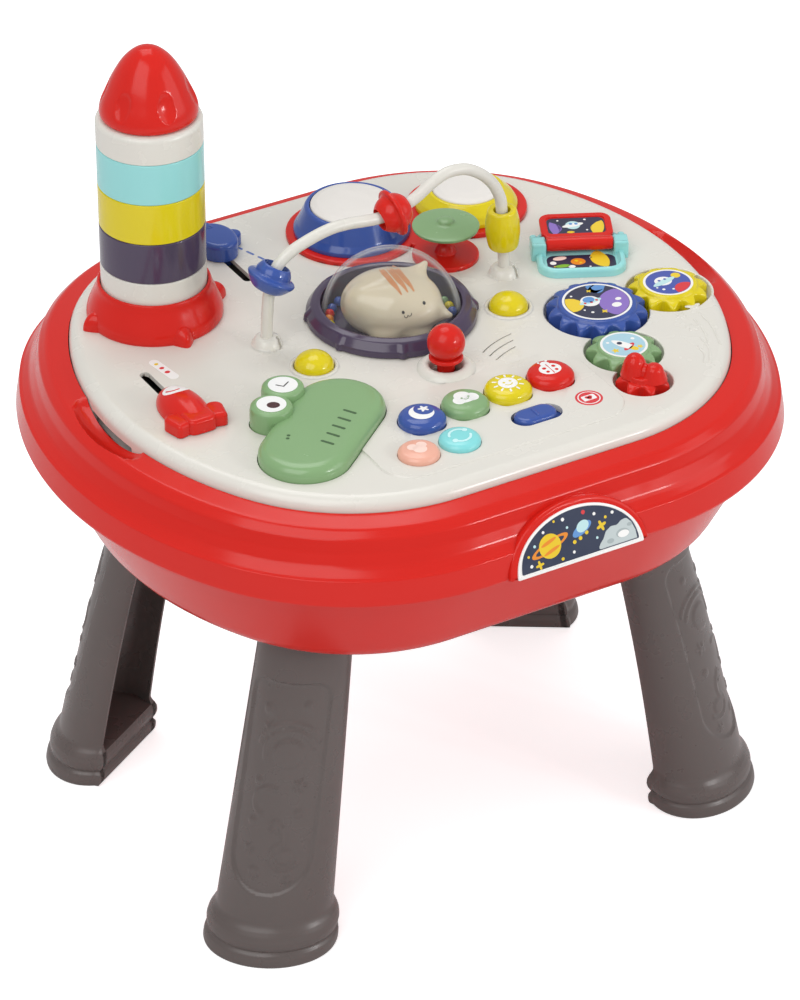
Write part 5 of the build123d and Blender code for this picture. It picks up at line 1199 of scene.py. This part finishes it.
def leaned(line, turn, x=0.0, y=0.0):
    """Outline turned about its own origin and moved."""
    return laid(line[:, 0], line[:, 1], turn, x, y)


green_marks = [(leaned(wing, 28, -1, 1), crimson, 1), (leaned(rocket[::-1], 28, -1, 1), paper, 2),
               (leaned(disc(0, 1.6, 1.6), 28, -1, 1), indigo, 3),
               (leaned(disc(0, -8.6, 2.0, 1.5), 28, -1, 1), lemon, 1),
               (disc(-8.2, -3.6, 1.8, 1, 10, 5, 0.34), lemon, 1),
               (disc(7.4, -6.6, 1.5, 1, 40, 5, 0.34), lemon, 1),
               (disc(-7.6, 6.4, 1.0), paper, 1), (disc(8.2, 3.4, 1.2), paper, 1)]
for name, finish, radius, ground, marks in (("blue", blue_abs, 21.4, indigo, blue_marks),
                                            ("yellow", yellow_abs, 15.4, royal, yellow_marks),
                                            ("green", green_abs, 14.4, pale_sky, green_marks)):
    (x, y), _ = GEARS[name]
    shapes, inks = sticker(x, y, radius, GEAR_TOP[name][1], ground, marks)
    piece("toothed_" + name, gear_body(name) + shapes, [finish] * 2 + inks, "gear_" + name,
          name + "_plastic",
          "gear_" + name, crease=50)
(x, y), _ = GEARS["red"]
# the knob: two blunt lumps run together with a saddle between, higher at the back
lump_a = smooth([(8.6, 3.0), (8.0, 5.6), (7.2, 9.0), (6.4, 12.0), (4.8, 14.8), (2.6, 16.6), (0, 17.1)], 5)
lump_b = smooth([(8.2, 2.6), (7.2, 5.2), (6.2, 7.8), (5.0, 10.6), (3.0, 12.2), (0, 12.7)], 5)
saddle = egg((5.4, 9.4, 8.0), (x + 0.2, y - 0.6, 3.6), 28, 0, 40)
shapes = [skin(turned(np.concatenate([[(0, 3.0)], lump_a]), (x - 3.6, y + 4.2), 56), True),
          skin(turned(np.concatenate([[(0, 2.6)], lump_b]), (x + 3.8, y - 5.6), 56), True),
          skin(saddle, True)]
piece("toothed_red", gear_body("red") + shapes, red_abs, "gear_red", "red_plastic", "gear_red", crease=50)


# ------------------------------------------------------------------ sliders
# Two knobs that run in slots: a red rocket with a printed window and a blue shuttle, each on a stem under
# the board.  ABS; beside the slots, printed dots and dashes lead the way.
def box_line(x, y, wide, deep, corner, turn=0.0):
    """Rounded rectangle, counter-clockwise from the middle of its near side."""
    u, v = wide / 2, deep / 2
    line = rounded([(0, -v), (u, -v), (u, v), (-u, v), (-u, -v), (0, -v)],
                   dict.fromkeys((1, 2, 3, 4), corner), 8)
    return laid(line[:-1, 0], line[:-1, 1], turn, x, y)


def round_over(high, edge, steps):
    """Levels of a rounded upper edge, (edge (1 - cos v), high - edge + edge sin v) over a quarter turn."""
    return [(edge * (1 - cos(v)), high - edge + edge * sin(v)) for v in np.linspace(0, pi / 2, steps)]


def soft_box(x, y, wide, deep, low, high, corner, edge, crown=0.2, turn=0.0):
    """Pillowed block over a rounded rectangle."""
    return slab(box_line(x, y, wide, deep, corner, turn), on_board, [(0, low)] + round_over(high, edge, 7),
                crown)


RED_X, RED_Y = -160.0, -27.0
body = egg((13.8, 25.3, 12.4), (RED_X, RED_Y + 3.5, 0.5), 0, 0, 72)
body[..., 2] = np.maximum(body[..., 2], BOARD_Z + 0.52)
shapes = [skin(body, True), soft_box(RED_X, RED_Y - 13.6, 19.0, 16, 0.52, 9.6, 5.0, 2.6),
          soft_box(RED_X - 12.6, RED_Y - 11.5, 11.6, 17.0, 0.52, 8.6, 5.2, 2.8, 0.2, 14),
          soft_box(RED_X + 12.6, RED_Y - 11.5, 11.6, 17.0, 0.52, 8.6, 5.2, 2.8, 0.2, -14),
          soft_box(RED_X, RED_Y - 2, 5.9, 16, -4, 1.2, 2.5, 0.3),
          soft_box(RED_X, RED_Y - 2, 18, 24, -6, -3.5, 3, 0.3)]


def on_nose(u, v, out=0.0):
    """Places on the red rocket's rounded body, above the plan point (u, v)."""
    k = np.clip(1 - ((u - RED_X) / 13.8) ** 2 - ((v - RED_Y - 3.5) / 25.3) ** 2, 0.0, 1)
    return on_board(u, v, 0.5 + 12.4 * np.sqrt(k) + np.asarray(out))


marks = [(disc(RED_X + 0.4, RED_Y + 15.2, 8.2, 0.8, 0, count=48), white_ink, 1),
         (ringed(RED_X - 0.6, RED_Y + 17.2, 5.2, 1.0, 195, 290, 20), crimson, 2)]
more, inks = prints(on_nose, marks, 0.12)
piece("rocket_slider", shapes + more, [red_abs] * len(shapes) + inks, "slider_red", "red_plastic",
      "slider_red")

BLUE_X, BLUE_Y = -52.5, 134.0
hull = disc(BLUE_X, BLUE_Y + 1, 12.5, 1.32, count=80)
wing = disc(BLUE_X, BLUE_Y + 3, 18, 0.44, count=80)
shapes = [slab(hull, on_board, [(0, 0.52)] + round_over(12.0, 3.4, 8), 0.2),
          slab(wing, on_board, [(0, 0.52)] + round_over(9.0, 2.6, 8), 0.3),
          soft_box(BLUE_X, BLUE_Y + 12, 5, 8, 4, 12.9, 2.2, 1.6),
          soft_box(BLUE_X, BLUE_Y, 5.9, 12, -4, 1.2, 2.5, 0.3),
          soft_box(BLUE_X, BLUE_Y, 18, 20, -6, -3.5, 3, 0.3)]
piece("shuttle_slider", shapes, blue_abs, "slider_blue", "blue_plastic", "slider_blue")

dash_blue = moulded("dash blue print", "5A73B4", 0.34)
marks = [(pill(-147.2, 26.8, 26.0, 6.4, -82), paper, 1)]
marks += [(disc(-148.4 + 0.8 * i, 34.2 - 5.6 * i, 1.35 + 0.2 * i, 0.8, count=20), tint, 2)
          for i, tint in enumerate((sun, crimson, crimson))]
marks += [(pill(-39.0 + 3.0 * i, 131.0 - 9.2 * i, 6.6, 1.7, -72, 6), dash_blue, 1) for i in range(3)]
shapes, inks = prints(on_board, marks, 0.07)
piece("slot_prints", shapes, inks, "board", "badge_print")

# ------------------------------------------------------------------ flip book
# A turquoise tray with a picture in it and two hinge blocks; a red page turns on its roll over the picture
# and carries one of its own.  ABS with printed films, glued in shallow recesses.
HINGE, BOOK_TURN, HINGE_H = (138.8, 16.6), -25.9, 8.5
book_c, book_s = cos(radians(BOOK_TURN)), sin(radians(BOOK_TURN))


def on_book(u, v, out=0.0):
    """Places in the book's own plan, hinge along its X, to the table's."""
    return on_board(HINGE[0] + u * book_c - v * book_s, HINGE[1] + u * book_s + v * book_c, out)


def soft_block(x, y, wide, deep, low, high, corner, edge, place=on_book, crown=0.1):
    """Pillowed block over a rounded rectangle, set by the place given."""
    return slab(box_line(x, y, wide, deep, corner), place, [(0, low)] + round_over(high, edge, 6), crown)


tray_levels = [(0, 0.02)] + round_over(5.6, 2.4, 6)
tray_levels += [(2.8 + 0.8 * sin(v), 4.8 + 0.8 * cos(v)) for v in np.linspace(0, pi / 2, 6)[1:]]
tray_levels += [(4.8, 3.2), (5.4, 2.8)]
shapes = [slab(box_line(0, -2.5, 55, 50, 12), on_book, tray_levels)]
shapes += [soft_block(side * 25.6, 0, 9.2, 11, 0.02, 11.6, 1.4, 1.6) for side in (-1, 1)]
shapes += [soft_block(side * 27.4, 7.0, 4.6, 18, 0.02, 7.2, 2.0, 1.6) for side in (-1, 1)]
piece("book_tray", shapes, turquoise_abs, "board", "turquoise_plastic", "book_frame")
leaf_green = moulded("leaf green print", "7FB62E", 0.34)
tray_marks = [(box_line(0, -13.2, 42.6, 17.0, 5.4), indigo, 1),
              (lens_shape(0, -13.2, 17.5, 17.5, -9.0, 11.6), lemon, 2),
              (disc(-2.0, -12.6, 4.6, 0.86), amber, 2), (disc(-3.0, -11.6, 1.2), sun, 3),
              (disc(-0.6, -14.0, 0.9), sun, 3),
              (disc(-13.0, -8.2, 4.4, 0.5, 12), pale_salmon, 2),
              (disc(-12.0, -17.4, 4.6, 0.4, 8), leaf_green, 2),
              (disc(-17.6, -13.6, 2.0), paper, 2), (disc(-6.4, -18.4, 2.2, 0.8), paper, 2),
              (disc(5.0, -19.0, 0.7), paper, 2),
              (disc(6.2, -8.0, 0.8), paper, 2), (disc(-17.0, -18.0, 0.6), sun, 2)]
shapes, inks = prints(lambda u, v, out: on_book(u, v, 2.82 + out), tray_marks, 0.06)
piece("tray_picture", shapes, inks, "board", "badge_print")


def on_page(u, v, out=0.0):
    """Places in the page's own plan: tilted back 2 degrees about the hinge, above its lower face."""
    tilt = radians(2.0)
    h = np.asarray(out)
    return on_book(u, v * cos(tilt) - h * sin(tilt), HINGE_H - 2.0 + v * sin(tilt) + h * cos(tilt))


def roll(half, radius, edge):
    """Roll along the hinge: circles (r cos a, r sin a) about it, with its ends broken."""
    a = np.linspace(0, 2 * pi, 40, endpoint=False)[None, :]
    u = np.array([-half, -half, -half + edge, half - edge, half, half])[:, None]
    r = np.array([0, radius - edge, radius, radius, radius - edge, 0])[:, None]
    return skin(on_book(np.broadcast_to(u, (6, 40)), r * np.cos(a), HINGE_H + r * np.sin(a)), False, True)


page_levels = [(0.5, 0.0), (0, 0.5)] + round_over(3.0, 0.9, 6) + [(4.0, 3.0), (4.2, 2.9), (4.3, 2.2)]
shapes = [roll(20.6, 4.4, 0.5), roll(26.0, 2.0, 0.3),
          slab(box_line(0, 20.5, 45, 28, 7), on_page, page_levels),
          soft_block(0, 4.2, 40.6, 9, 0.1, 2.9, 0.6, 0.4, on_page, 0.0)]
page_marks = [(box_line(0, 20.2, 36.0, 19.0, 4), indigo, 1),
              (lens_shape(2, 20.2, 19.0, -20.5, 17.0, 9.5), violet, 2),
              (lens_shape(-2, 20.2, 19.5, 19.5, 15.5, 10.5), lemon, 2), (disc(-2.0, 21.0, 4.6, 1), mist, 2),
              (disc(-2.0, 21.0, 7.0, 0.28, 16), paper, 3), (disc(-3.2, 22.4, 1.1), sky, 4),
              (disc(0.2, 22.4, 1.1), sky, 4),
              (disc(-4.0, 13.0, 2.4, 0.5), sun, 2), (disc(6.0, 27.2, 0.8), paper, 2),
              (disc(-11.0, 26.8, 0.7), paper, 2),
              (disc(6.4, 15.0, 0.7), paper, 2)]
more, inks = prints(lambda u, v, out: on_page(u, v, 2.22 + out), page_marks, 0.06)
piece("book_leaf", shapes + more, [red_abs] * 4 + inks, "book_page", "red_plastic", "book_page")


# ------------------------------------------------------------------ underside and inner works
# What stays as modelled: box, cells, circuit board, speaker, screws and stick gimbal.  Polypropylene,
# zinc-plated steel, laminate, silicone and paper.
black_paper = moulded("black speaker paper", "1C1C1C", 0.8)
green_laminate = moulded("circuit laminate", "1E5A32", 0.4)
silicone = moulded("grey silicone", "8C8C8C", 0.55)
zinc = moulded("zinc-plated steel", "B9BBBD", 0.3)
finish_of_slot = {
    "red_plastic": red_abs, "white_plastic": white_abs, "purple_plastic": plum_abs,
    "yellow_plastic": yellow_abs,
    "turquoise_plastic": turquoise_abs, "green_plastic": green_abs, "blue_plastic": blue_abs,
    "salmon_plastic": salmon_pp, "leg_plastic": grey_pp, "pan_plastic": pan_pp, "cat_plastic": cream_abs,
    "ball_plastic": yellow_abs, "badge_print": night, "soft_pad": pad_rubber, "keypad_rubber": silicone,
    "circuit": green_laminate, "speaker_black": black_paper, "cell_metal": zinc, "screw_steel": zinc,
    "clear_plastic": clear_ps}
for entry in frame["record"]["subparts"]:
    node = frame["nodes"][entry["node"]]
    node.data.materials.clear()
    node.data.materials.append(finish_of_slot[entry["material_slot"]])
